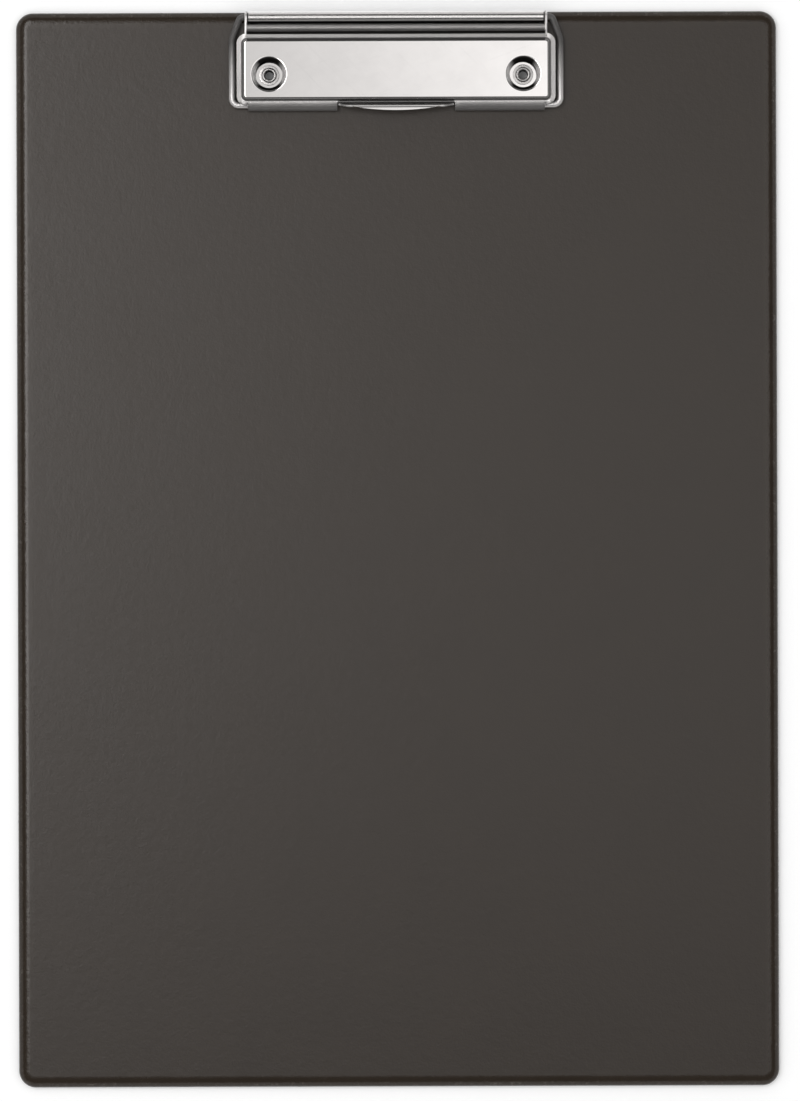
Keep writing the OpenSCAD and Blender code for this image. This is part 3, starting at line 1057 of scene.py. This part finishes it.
@dataclass(frozen=True)
class LeverShadeAndBends:
    """Where shade and dark reflections are painted into the lever's colour and how strongly, and where
    bending dulled the plating.

    Places are x from the middle, v in front of the hinge and h over the writing face. Near is a distance
    from a line, reach one from a hole's axis, and upright is 1 in front of and behind the hole and 0
    beside it. A span is where a soft edge starts and where it ends.
    """

    middle_x: Span = (44.3 * MM, 43.9 * MM)
    groove_v: float = 4.67 * MM
    groove_near: Span = (0.75 * MM, 0.4 * MM)
    heel_v: Span = (3.1 * MM, 2.7 * MM)
    heel_h: Span = (3.3 * MM, 2.8 * MM)
    rear: float = 0.93
    rear_v: float = 6.85 * MM
    rear_near: Span = (0.65 * MM, 0.4 * MM)
    strip: float = 0.5
    strip_v: Span = (6.9 * MM, 6.6 * MM)
    slopes: float = 0.7
    slopes_foot_h: Span = (3.66 * MM, 3.78 * MM)
    slopes_top_h: Span = (4.8 * MM, 4.7 * MM)
    tab_foot: float = 0.85
    tab_foot_v: float = 25.2 * MM
    tab_foot_near: Span = (0.55 * MM, 0.35 * MM)
    tab_foot_x: Span = (17.3 * MM, 17.1 * MM)
    collar_reach: Span = (6.1 * MM, 5.6 * MM)
    collar_h: Span = (4.82 * MM, 4.7 * MM)
    collar_upright: Span = (0.12, 0.6)
    roll: float = 0.45
    roll_v: Span = (25.0 * MM, 25.3 * MM)
    roll_x: Span = (17.0 * MM, 17.3 * MM)
    roll_top: float = 0.27
    roll_top_h: Span = (2.2 * MM, 3.0 * MM)
    lip: float = 0.38
    lip_x: Span = (45.0 * MM, 45.6 * MM)
    bent_lip: float = 0.9
    bent_rear: float = 0.9
    bent_rear_v: Span = (7.3 * MM, 6.9 * MM)
    bent_collar: float = 1.6
    bent_collar_upright: Span = (0.6, 0.3)

    def values(self, x: np.ndarray, v: np.ndarray, h: np.ndarray,
               hole: tuple[float, float]) -> tuple[np.ndarray, np.ndarray]:
        """Works out both marks, each the largest of its places' soft masks.

        Args:
            x: Distance of each point from the middle.
            v: Distance of each point in front of the hinge.
            h: Height of each point over the writing face.
            hole: Place (x, v) of the right access hole.

        Returns:
            The painted shade and the bent mark of each point.
        """
        middle, lip = ramp(x, *self.middle_x), ramp(x, *self.lip_x)
        reach = np.hypot(x - hole[0], v - hole[1])
        upright = ((v - hole[1]) / np.maximum(reach, WELD)) ** 2
        collar = ramp(reach, *self.collar_reach) * ramp(h, *self.collar_h)
        slopes = ramp(reach, *self.collar_reach[::-1]) * ramp(h, *self.slopes_foot_h)
        roll = ramp(v, *self.roll_v) * ramp(x, *self.roll_x)
        tab_foot = ramp(np.abs(v - self.tab_foot_v), *self.tab_foot_near) * ramp(x, *self.tab_foot_x)
        # Painted shade: each mask darkens the colour where the lever lies in shade or shows a dark
        # reflection: groove, heel, rear slope, strip, the plateau's slopes, tab foot, collar arcs, rolls and
        # lips.
        painted_shade = [
            middle * ramp(np.abs(v - self.groove_v), *self.groove_near),
            middle * ramp(v, *self.heel_v) * ramp(h, *self.heel_h),
            self.rear * middle * ramp(np.abs(v - self.rear_v), *self.rear_near),
            self.strip * middle * ramp(v, *self.strip_v),
            self.slopes * slopes * ramp(h, *self.slopes_top_h),
            self.tab_foot * tab_foot,
            collar * ramp(upright, *self.collar_upright),
            roll * (self.roll + self.roll_top * ramp(h, *self.roll_top_h)),
            self.lip * lip,
        ]
        bent = [roll, self.bent_lip * lip, self.bent_rear * ramp(v, *self.bent_rear_v),
                self.bent_collar * collar * ramp(upright, *self.bent_collar_upright)]
        return np.max(painted_shade, axis=0), np.max(bent, axis=0)


@dataclass
class LeverPlate:
    """The upper plate: plateau, collars, lips, groove, heel, rolled jaw, finger tab and ears."""

    clip: Clip
    corner: float = 0.4 * MM
    lip_reach: float = 2.6 * MM
    lap: float = 0.15 * MM
    jaw_inset: float = 0.6 * MM
    jaw_roll: float = 300.0
    groove_level: float = 0.65 * MM
    groove_slope: float = 45.0
    groove_flank: float = 0.3 * MM
    heel_gap: float = 0.3 * MM
    tab_half: float = 17.0 * MM
    tab_gap: float = 0.4 * MM
    tab_rise: float = 1.9 * MM
    tab_slope: float = 58.0
    tab_tip: float = 0.7 * MM
    tab_bow: float = 1.9 * MM
    access: float = 4.3 * MM
    collar_slope: float = 50.0
    collar_run: float = 1.0 * MM
    ear_gap: float = 0.4 * MM
    block: float = 5.8 * MM
    block_parts: int = 24
    edge: float = 0.1 * MM
    ear_edge: float = 0.08 * MM
    shade_and_bends: LeverShadeAndBends = LeverShadeAndBends()

    def build(self, finishes: Finishes) -> None:
        """Builds the pressed sheet and its two ears as one piece.

        Args:
            finishes: The clipboard's materials.
        """
        made = skin("lever_plate_skin", self.plateau() + self.walls() + self.back() + self.front())
        thicken(made, self.clip.lever_t, 0.0, self.edge)
        ears = [self.ear(side) for side in (-1, 1)]
        with bpy.context.temp_override(active_object=made, selected_editable_objects=[made, *ears]):
            bpy.ops.object.join()
        x, v, h = self.clip.taken(made)
        for name, values in zip(("painted_shade", "bent"), self.shade_and_bends.values(np.abs(x), v, h, self.clip.rivet)):
            mark(made, name, values)
        place(made, Body.LEVER, Slot.SHEET, finishes.sheet, "clamp_lever")

    @property
    def flat_x(self) -> float:
        """Half width of the plateau's flat top."""
        return self.clip.half_plateau - self.corner

    @property
    def level_start(self) -> float:
        """Where the jaw and the tab begin, in front of the plateau's slope."""
        return self.clip.plateau_front + self.clip.wall_run + self.lap

    def columns(self, low: float, high: float) -> np.ndarray:
        """The grid lines across the lever between two places, shared by all its sections.

        Args:
            low: First place.
            high: Last place.

        Returns:
            The sorted lines.
        """
        rx = self.clip.rivet[0]
        jaw_out = self.clip.half_plateau - self.jaw_inset
        stops = [0.0, self.tab_half, self.tab_half + self.tab_gap, rx - self.block, rx + self.block,
                 jaw_out, self.flat_x]
        parts = (24, 1, 8, self.block_parts, 2, 2)
        half = np.concatenate([np.linspace(a, b, n + 1) for (a, b), n in zip(pairwise(stops), parts)])
        every = grid_lines(-half, half)
        return every[(every > low - WELD) & (every < high + WELD)]

    def wall_line(self, lip: float) -> np.ndarray:
        """Section of the plateau's wall outwards: over the edge, down the slope, out along the lip.

        Args:
            lip: Length of the lip beyond its first lap, or 0 where another section goes on from there.

        Returns:
            The section's points as (distance outwards, height).
        """
        clip = self.clip
        slope_l = step_slope(clip.emboss, clip.slope, clip.bend_r)
        steps = [Bend(self.corner, -clip.slope, clip.bend_r), Bend(slope_l, clip.slope, clip.bend_r),
                 Bend(self.lap, 0, 0)]
        if lip > 0:
            steps.append(Bend(lip, 0, 0))
        return bend_line(steps, (0.0, clip.plateau), 0)

    def plateau(self) -> list[np.ndarray]:
        """The flat top, and the two collars drawn down round the access holes.

        Returns:
            Grids of points that share their edges.
        """
        clip, angle = self.clip, math.radians(self.collar_slope)
        outer = self.access + clip.bend_r * math.sin(angle) + self.collar_run * math.cos(angle)
        top = Pierced(self.columns(-self.flat_x, self.flat_x), self.rows(), clip.holes, self.block, outer)
        collar = bend_line([Bend(GUARD, 0, 0), Bend(0, self.collar_slope, clip.bend_r),
                            Bend(self.collar_run, 0, 0)], (outer, clip.plateau), 180)
        collars = [revolve(collar, hole, top.rim(hole)) for hole in clip.holes]
        return [clip.lay_grid(grid) for grid in top.patches(clip.plateau) + collars]

    def rows(self) -> np.ndarray:
        """The plateau's grid lines from back to front, as its side walls share them.

        Returns:
            The sorted lines.
        """
        clip, rv = self.clip, self.clip.rivet[1]
        back, front = clip.plateau_back + self.corner, clip.plateau_front - self.corner
        return grid_lines(stations(back, rv - self.block, 2), about(rv, self.block, self.block_parts),
                          stations(rv + self.block, front, 1))

    def walls(self) -> list[np.ndarray]:
        """The side walls with their lips, and the four corners turned through a quarter.

        Returns:
            Grids of points that share their edges.
        """
        clip, found = self.clip, []
        line = self.wall_line(self.lip_reach - clip.wall_run - self.lap)
        rows = self.rows()
        for side in (-1, 1):
            x = side * (self.flat_x + line[None, :, 0])
            found.append(clip.lay(x, rows[:, None], line[None, :, 1]))
            for v, way in ((rows[0], -1), (rows[-1], 1)):
                a = np.radians(np.linspace(0, 90, 19))[:, None]
                found.append(clip.lay(side * (self.flat_x + line[None, :, 0] * np.cos(a)),
                                      v + way * line[None, :, 0] * np.sin(a), line[None, :, 1]))
        return found

    def back(self) -> list[np.ndarray]:
        """Behind the plateau: its slope, the groove, the ridge and the heel in front of the barrel.

        Returns:
            One grid of points.
        """
        clip, r = self.clip, self.clip.bend_r
        heel = clip.level - r - clip.base_t - self.heel_gap
        line = bend_line([
            Bend(self.corner, -clip.slope, r),
            Bend(step_slope(clip.emboss, clip.slope, r), clip.slope, r),
            Bend(self.lap, 0, 0),
            Bend(self.groove_level - self.lap, -self.groove_slope, r),
            Bend(self.groove_flank, 2 * self.groove_slope, r),
            Bend(self.groove_flank, -self.groove_slope, r),
            Bend(0, -90, r),
            Bend(heel, 0, 0),
        ], (0.0, clip.plateau), 0)
        xs = self.columns(-self.flat_x, self.flat_x)
        v = clip.plateau_back + self.corner - line[:, 0]
        return [clip.lay(xs[:, None], v[None], line[None, :, 1])]

    def front(self) -> list[np.ndarray]:
        """In front of the plateau: its slope, the two rolls of the jaw, and the finger tab.

        Returns:
            Grids of points that share their edges.
        """
        clip, line = self.clip, self.wall_line(0)
        xs, start = self.columns(-self.flat_x, self.flat_x), clip.plateau_front - self.corner
        found = [clip.lay(xs[:, None], start + line[None, :, 0], line[None, :, 1])]
        roll_r = clip.bore + clip.lever_t / 2
        roll = bend_line([Bend(0, -self.jaw_roll, roll_r)], (clip.jaw_reach, clip.axis_h + roll_r), 0)
        roll = np.vstack([[self.level_start, clip.level], roll])
        inner, outer = self.tab_half + self.tab_gap, clip.half_plateau - self.jaw_inset
        for low, high in ((-outer, -inner), (inner, outer)):
            across = self.columns(low, high)[:, None]
            found.append(clip.lay(across, roll[None, :, 0], roll[None, :, 1]))
        return [*found, self.tab()]

    def tab(self) -> np.ndarray:
        """The finger tab: its section's heights, cut off in front along a bow.

        The bow is the circle that falls back by tab_bow over tab_half: end - r + root of (r r - x x).

        Returns:
            A grid of points.
        """
        clip, r, start = self.clip, self.clip.bend_r, self.level_start
        line = bend_line([Bend(0, self.tab_slope, r),
                          Bend(step_slope(self.tab_rise, self.tab_slope, r), -self.tab_slope, r),
                          Bend(self.tab_tip, 0, 0)], (start, clip.level), 0)
        across = self.columns(-self.tab_half, self.tab_half)[:, None]
        bow_r = (self.tab_half ** 2 + self.tab_bow ** 2) / (2 * self.tab_bow)
        end = line[-1, 0] - bow_r + np.sqrt(bow_r ** 2 - across ** 2)
        v = start + (end - start) * np.linspace(0, 1, 40)[None, :]
        return clip.lay(across, v, np.interp(v, line[:, 0], line[:, 1]))

    def ear(self, side: int) -> bpy.types.Object:
        """An ear: a flat plate round the wire, carried by the sheet in front of it.

        Its outline in each direction from the wire is the farther of the round end and the arm's edges.

        Args:
            side: -1 for the left ear, 1 for the right one.

        Returns:
            The finished ear.
        """
        clip, soft = self.clip, self.ear_edge
        round_r = clip.bore + clip.lever_t
        top, bottom = clip.level + clip.lever_t / 2 - clip.axis_h, -round_r / 2
        arm = np.array([[self.lap, top], [clip.plateau_back, top],
                        [clip.plateau_back, top - clip.lever_t / 2], [round_r, bottom], [self.lap, bottom]])
        a = np.linspace(0, 2 * np.pi, 145)
        way = np.stack([np.cos(a), np.sin(a)], axis=1)
        reach = np.maximum(round_r, ray_reach(way, arm))[:, None]
        inner, shrunk, outer = way * clip.bore, way * (reach - soft), way * reach
        x0 = clip.half_plateau - clip.base_inset + self.ear_gap
        x1 = x0 + clip.lever_t
        rings = [(x0, inner), (x0, shrunk), (x0 + soft, outer), (x1 - soft, outer), (x1, shrunk), (x1, inner),
                 (x0, inner)]
        grid = np.stack([np.column_stack([np.full(len(a), side * x), ring]) for x, ring in rings])
        made = skin(f"ear_{'left' if side < 0 else 'right'}", [clip.lay_grid(grid + [0, 0, clip.axis_h])])
        settle(made)
        return made


def ray_reach(ways: np.ndarray, outline: np.ndarray) -> np.ndarray:
    """Farthest point of an outline along each direction from the origin, or 0 where it isn't met.

    For an edge from a to b, the ray t w meets a + u (b - a) where t = a x (b - a) / w x (b - a) and
    u = a x w / w x (b - a).

    Args:
        ways: Unit directions, one row each.
        outline: Corners of the outline in order.

    Returns:
        The distance along each direction.
    """
    a, b = outline, np.roll(outline, -1, axis=0)
    e = b - a
    down = ways[:, None, 0] * e[None, :, 1] - ways[:, None, 1] * e[None, :, 0]
    down = np.where(np.abs(down) < 1e-15, 1e-15, down)
    t = (a[:, 0] * e[:, 1] - a[:, 1] * e[:, 0])[None] / down
    u = (a[None, :, 0] * ways[:, None, 1] - a[None, :, 1] * ways[:, None, 0]) / down
    return np.where((u >= -1e-9) & (u <= 1 + 1e-9) & (t > 0), t, 0).max(axis=1)


@dataclass
class SpringWire:
    """One bent wire: rear bar, two flared arms along the sides, and two feet in the jaw."""

    clip: Clip
    pin_half: float = 45.0 * MM
    arm_x: float = 48.45 * MM
    flare: float = 20.0
    hinge_bend: float = 1.5 * MM
    shoulder_bend: float = 5.0 * MM
    foot_bend: float = 2.0 * MM
    foot: float = 20.0 * MM
    sides: int = 40
    ends: tuple[float, ...] = (0.0, 0.8, 1.0)
    # Painted shade and dark reflection on the flared shoulders near the hinge: its strength, and where it
    # fades out.
    painted_shade: float = 0.8
    painted_shade_ends: Span = (9.0 * MM, 7.5 * MM)

    def path(self) -> np.ndarray:
        """Middle line in plan, from the left foot's end round to the right foot's end.

        Returns:
            The line's points as (across, behind the hinge).
        """
        turn, flare = math.radians(90 - self.flare), math.radians(self.flare)
        out = (self.arm_x - self.pin_half - self.hinge_bend * math.sin(turn)
               - self.shoulder_bend * (1 - math.cos(flare)))
        shoulder = out / math.sin(flare)
        back = (self.hinge_bend * (1 - math.cos(turn)) + shoulder * math.cos(flare)
                + self.shoulder_bend * math.sin(flare))
        side = self.clip.jaw_reach - back - self.foot_bend
        half = [Bend(self.foot, -90, self.foot_bend), Bend(side, -self.flare, self.shoulder_bend),
                Bend(shoulder, self.flare - 90, self.hinge_bend)]
        start = (self.foot + self.foot_bend - self.arm_x, -self.clip.jaw_reach)
        return bend_line([*half, Bend(2 * self.pin_half, self.flare - 90, self.hinge_bend),
                          Bend(shoulder, -self.flare, self.shoulder_bend), Bend(side, -90, self.foot_bend),
                          Bend(self.foot, 0, 0)], start, 180)

    def build(self, finishes: Finishes) -> None:
        """Carries a circle along the middle line and closes both cut ends.

        Each ring is centre + r (cos b * side + sin b * up), side being square to the line in plan. Each end
        has rings that grow from nothing to the wire's radius.

        Args:
            finishes: The clipboard's materials.
        """
        line, ends = self.path(), np.array(self.ends) * self.clip.wire_r
        along = np.gradient(line, axis=0)
        along /= np.linalg.norm(along, axis=1)[:, None]
        rows = np.concatenate([np.zeros(len(ends), int), np.arange(1, len(line) - 1),
                               np.full(len(ends), len(line) - 1)])
        line, along = line[rows], along[rows]
        r = np.concatenate([ends, np.full(len(rows) - 2 * len(ends), self.clip.wire_r), ends[::-1]])[:, None]
        b = np.linspace(0, 2 * np.pi, self.sides + 1)[None, :]
        x = line[:, None, 0] - along[:, None, 1] * r * np.cos(b)
        y = line[:, None, 1] + along[:, None, 0] * r * np.cos(b)
        made = skin("spring_wire_skin", [self.clip.lay(x, -y, self.clip.axis_h + r * np.sin(b))])
        settle(made)
        _, v, _ = self.clip.taken(made)
        # Painted shade on the shoulders, full towards the hinge.
        mark(made, "painted_shade", self.painted_shade * ramp(v, *self.painted_shade_ends))
        mark(made, "bent", np.zeros(len(v)))
        place(made, Body.LEVER, Slot.WIRE, finishes.wire, "spring_wire")


@dataclass
class Rivets:
    """Two tubular rivets with their washers on the back."""

    clip: Clip
    tube: float = 1.75 * MM
    wall: float = 0.5 * MM
    flange: float = 3.0 * MM
    flange_t: float = 0.35 * MM
    bead: float = 0.45 * MM
    washer: float = 4.0 * MM
    washer_t: float = 0.4 * MM
    seat: float = 1.0 * MM
    soft: float = 0.1 * MM
    fit: float = 0.05 * MM
    sides: int = 96
    bead_parts: int = 24
    # Painted shade down the bore: how far in from the tube's outside it starts and where it is full.
    dark_bore: Span = (0.35 * MM, 0.5 * MM)

    def build(self, finishes: Finishes) -> None:
        """Builds both rivets and both washers.

        Args:
            finishes: The clipboard's materials.
        """
        for name, centre in zip(("left", "right"), self.clip.rivets()):
            self.turn(f"{name}_rivet", self.rivet_line(), centre, finishes)
            self.turn(f"{name}_rivet_washer", self.washer_line(), centre, finishes)

    def turn(self, node: str, line: np.ndarray, centre: tuple[float, float], finishes: Finishes) -> None:
        """Turns a closed section about the rivet's axis, and marks painted shade down its bore.

        Args:
            node: The CAD node that the piece replaces.
            line: The section's points as (radius, height).
            centre: Place of the axis in plan.
            finishes: The clipboard's materials.
        """
        angles = np.linspace(0, 2 * np.pi, self.sides + 1)
        made = skin(f"{node}_skin", [revolve(np.vstack([line, line[:1]]), centre, angles)])
        settle(made)
        reach = np.linalg.norm(points_of(made)[:, :2] - np.array(centre), axis=1)
        # Painted shade on the bore's wall.
        mark(made, "painted_shade", ramp(self.tube - reach, *self.dark_bore))
        mark(made, "bent", np.zeros(len(reach)))
        place(made, Body.BOARD, Slot.RIVET, finishes.rivet, node)

    def rivet_line(self) -> np.ndarray:
        """Section of the rivet: bead, flange, tube, tail bead, and up the bore again.

        Returns:
            The section's points as (radius, height).
        """
        low = self.clip.top + self.clip.base_t
        high, back, bore = low + self.flange_t, self.seat - self.washer_t, self.tube - self.wall
        head, tail = self.wall, (self.tube + 2 * self.wall - bore) / 2
        return np.concatenate([
            oval_arc((bore + head, high), head, self.bead, 180, 0, self.bead_parts),
            self.broken_rim(self.flange, low, high),
            [[self.tube, low], [self.tube, back]],
            oval_arc((bore + tail, back), tail, self.bead, 0, -180, self.bead_parts),
        ])

    def washer_line(self) -> np.ndarray:
        """Section of the washer, as (radius, height)."""
        low, high, inner = self.seat - self.washer_t, self.seat, self.tube + self.fit
        return np.concatenate([[[inner, high]], self.broken_rim(self.washer, low, high), [[inner, low]]])

    def broken_rim(self, radius: float, low: float, high: float) -> np.ndarray:
        """A disc's rim from its upper face to its lower one, with both corners broken."""
        s, x = self.soft, radius - self.soft
        return np.concatenate([oval_arc((x, high - s), s, s, 90, 0, 4),
                               oval_arc((x, low + s), s, s, 0, -90, 4)])


# ---- Studio ----


@dataclass(frozen=True)
class Studio:
    """A pale table in a white room, a soft key light from the left, and a dark tent that only sheens see.

    The tent has a lit patch in its ceiling over the clip, brighter to the right, a bright panel to the
    left of it, and a grey band round its walls. Polished metal shows them with dark flanks beside them,
    and the foil takes its sheen there.
    """

    table_colour: float = 0.97
    table_half: float = 8.0
    table_matt: float = 0.85
    table_sheen: float = 0.1
    room_light: float = 0.9
    key_power: float = 5.0
    key_place: tuple[float, float, float] = (-0.75, 0.25, 1.25)
    key_size: tuple[float, float] = (0.8, 1.1)
    tent_half: float = 1.7
    tent_height: float = 1.6
    ceiling_skin: float = 0.01
    tent_glow: float = 0.08
    tent_colour: tuple[float, float, float, float] = (1.0, 0.975, 0.96, 1.0)
    patch_x: tuple[float, float] = (-0.8, 0.8)
    patch_y: tuple[float, float] = (-0.38, 0.52)
    patch_glow: tuple[float, float] = (0.6, 1.0)
    patch_fade: tuple[float, float] = (-0.1, 0.1)
    panel_x: tuple[float, float] = (-0.68, -0.38)
    panel_y: tuple[float, float] = (-0.2, 0.9)
    panel_glow: float = 4.2
    band_z: tuple[float, float] = (0.12, 1.2)
    band_glow: float = 0.6
    soft: float = 0.1

    def build(self) -> None:
        """Sets the colour handling, the room, the table, the light and the tent."""
        bpy.context.scene.view_settings.view_transform = "Standard"
        self.room()
        self.table()
        self.key()
        self.tent()

    def room(self) -> None:
        """The room: white to the eye and to polished metal, softer as a light."""
        world = bpy.data.worlds.new("room")
        bpy.context.scene.world = world
        world.use_nodes = True
        tree = Tree(world.node_tree)
        rays = tree.add("ShaderNodeLightPath").outputs
        mirrored = tree.math("MAXIMUM", rays["Is Glossy Ray"], rays["Is Transmission Ray"])
        seen = tree.math("MAXIMUM", rays["Is Camera Ray"], mirrored)
        strength = tree.spread(seen, 0, 1, self.room_light, 1.0)
        tree.feed(world.node_tree.nodes["Background"], {"Color": (1, 1, 1, 1), "Strength": strength})

    def table(self) -> None:
        """A wide pale table top under the board."""
        reach = np.linspace(-self.table_half, self.table_half, 5)
        x, y = np.meshgrid(reach, reach)
        top = skin("table", [np.stack([x, y, np.zeros(x.shape)], axis=2)])
        paint, tree, surface = new_material("table_white")
        tree.feed(surface, {"Base Color": (self.table_colour,) * 3 + (1,), "Roughness": self.table_matt,
                            "Specular IOR Level": self.table_sheen})
        dress(top, paint)

    def key(self) -> None:
        """The soft key light, turned to the middle of the board."""
        lamp = bpy.data.lights.new("key", "AREA")
        lamp.shape, lamp.size, lamp.size_y = "RECTANGLE", *self.key_size
        lamp.energy = self.key_power
        made = bpy.data.objects.new("key", lamp)
        made.location = self.key_place
        made.rotation_mode = "QUATERNION"
        made.rotation_quaternion = (-made.location).to_track_quat("-Z", "Y")
        made.visible_camera = made.visible_glossy = False
        bpy.context.scene.collection.objects.link(made)

    def tent(self) -> None:
        """The tent: four walls and a ceiling, whose glow depends on the place."""
        r, h = self.tent_half, self.tent_height
        rows = [(r, 0.0), (r, h), (0.0, h)]
        corners = ((-1, -1), (1, -1), (1, 1), (-1, 1), (-1, -1))
        made = skin("tent", [np.array([[(x * s, y * s, z) for s, z in rows] for x, y in corners])])
        paint, tree, _ = new_material("tent_cloth")
        light = tree.add("ShaderNodeEmission", {"Color": self.tent_colour, "Strength": self.glow(tree)})
        tree.feed(paint.node_tree.nodes["Material Output"], {"Surface": light.outputs[0]})
        dress(made, paint)
        made.visible_camera = made.visible_diffuse = made.visible_shadow = False
        made.visible_transmission = made.visible_volume_scatter = False

    def glow(self, tree: Tree) -> bpy.types.NodeSocket:
        """The tent's glow by place: the patch and the panel in the ceiling, and the band on the walls.

        The band's window takes the height twice, which squares its mask and so softens its edges.

        Args:
            tree: The cloth's tree.

        Returns:
            The strength of the light.
        """
        where = tree.add("ShaderNodeTexCoord").outputs["Object"]
        x, y, z = tree.add("ShaderNodeSeparateXYZ", {0: where}).outputs
        patch = tree.math("MULTIPLY", self.window(tree, x, y, self.patch_x, self.patch_y),
                          tree.spread(x, *self.patch_fade, *self.patch_glow))
        panel = tree.math("MULTIPLY", self.window(tree, x, y, self.panel_x, self.panel_y), self.panel_glow)
        lamps = tree.math("ADD", patch, panel)
        high_up = tree.math("GREATER_THAN", z, self.tent_height - self.ceiling_skin)
        ceiling = tree.math("MULTIPLY", lamps, high_up)
        bands = tree.math("MULTIPLY", self.window(tree, z, z, self.band_z, self.band_z), self.band_glow)
        return tree.math("ADD", tree.math("ADD", ceiling, bands), self.tent_glow)

    def window(self, tree: Tree, across: bpy.types.NodeSocket, along: bpy.types.NodeSocket,
               reach_across: Span, reach_along: Span) -> bpy.types.NodeSocket:
        """Makes a mask that is 1 in a rectangle and fades to 0 outside it.

        Args:
            tree: Nodes that the mask is made in.
            across: First coordinate.
            along: Second coordinate.
            reach_across: Lowest and highest value of the first coordinate inside the rectangle.
            reach_along: The same of the second coordinate.

        Returns:
            The mask's output.
        """
        sides = []
        for value, (low, high) in ((across, reach_across), (along, reach_along)):
            sides.append(tree.spread(value, low - self.soft, low))
            sides.append(tree.spread(value, high, high + self.soft, 1, 0))
        return tree.math("MULTIPLY", tree.math("MULTIPLY", *sides[:2]), tree.math("MULTIPLY", *sides[2:]))


@dataclass(frozen=True)
class ViewFromAbove:
    """The camera: straight above the board, turned a little, as the board lies in its picture."""

    picture: tuple[int, int] = (800, 1101)
    board_middle_px: tuple[float, float] = (397.6, 549.3)
    board_width_px: float = 761.0
    distance: float = 1.3
    turn: float = -0.18
    sensor: float = 36.0

    def build(self, board_width: float, board_top: float) -> None:
        """Makes the camera so that the board has its width and its place in the picture.

        Args:
            board_width: Real width of the board.
            board_top: Height of the writing face.
        """
        pixel = board_width / self.board_width_px
        data = bpy.data.cameras.new("camera")
        data.sensor_width = self.sensor
        data.lens = self.sensor * self.distance / (self.picture[1] * pixel)
        made = bpy.data.objects.new("camera", data)
        made.location = ((self.picture[0] / 2 - self.board_middle_px[0]) * pixel,
                         (self.board_middle_px[1] - self.picture[1] / 2) * pixel, board_top + self.distance)
        made.rotation_euler = (0, 0, math.radians(self.turn))
        bpy.context.scene.collection.objects.link(made)
        bpy.context.scene.camera = made


def main() -> None:
    """Builds the clipboard's pieces in order, then the studio."""
    logging.basicConfig(level=logging.INFO, format="%(name)s: %(message)s")
    hinge = frame["joints"][0]["pos_m"]
    low, high = (np.array(c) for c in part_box("front_cover"))
    clip = Clip(hinge[1], hinge[2], float(high[2]))
    finishes = Finishes()
    Panel(high, clip.rivets()).build(finishes)
    BasePlate(clip).build(finishes)
    LeverPlate(clip).build(finishes)
    SpringWire(clip).build(finishes)
    Rivets(clip).build(finishes)
    Studio().build()
    ViewFromAbove().build(float(high[0] - low[0]), float(high[2]))


if __name__ == "__main__":
    main()
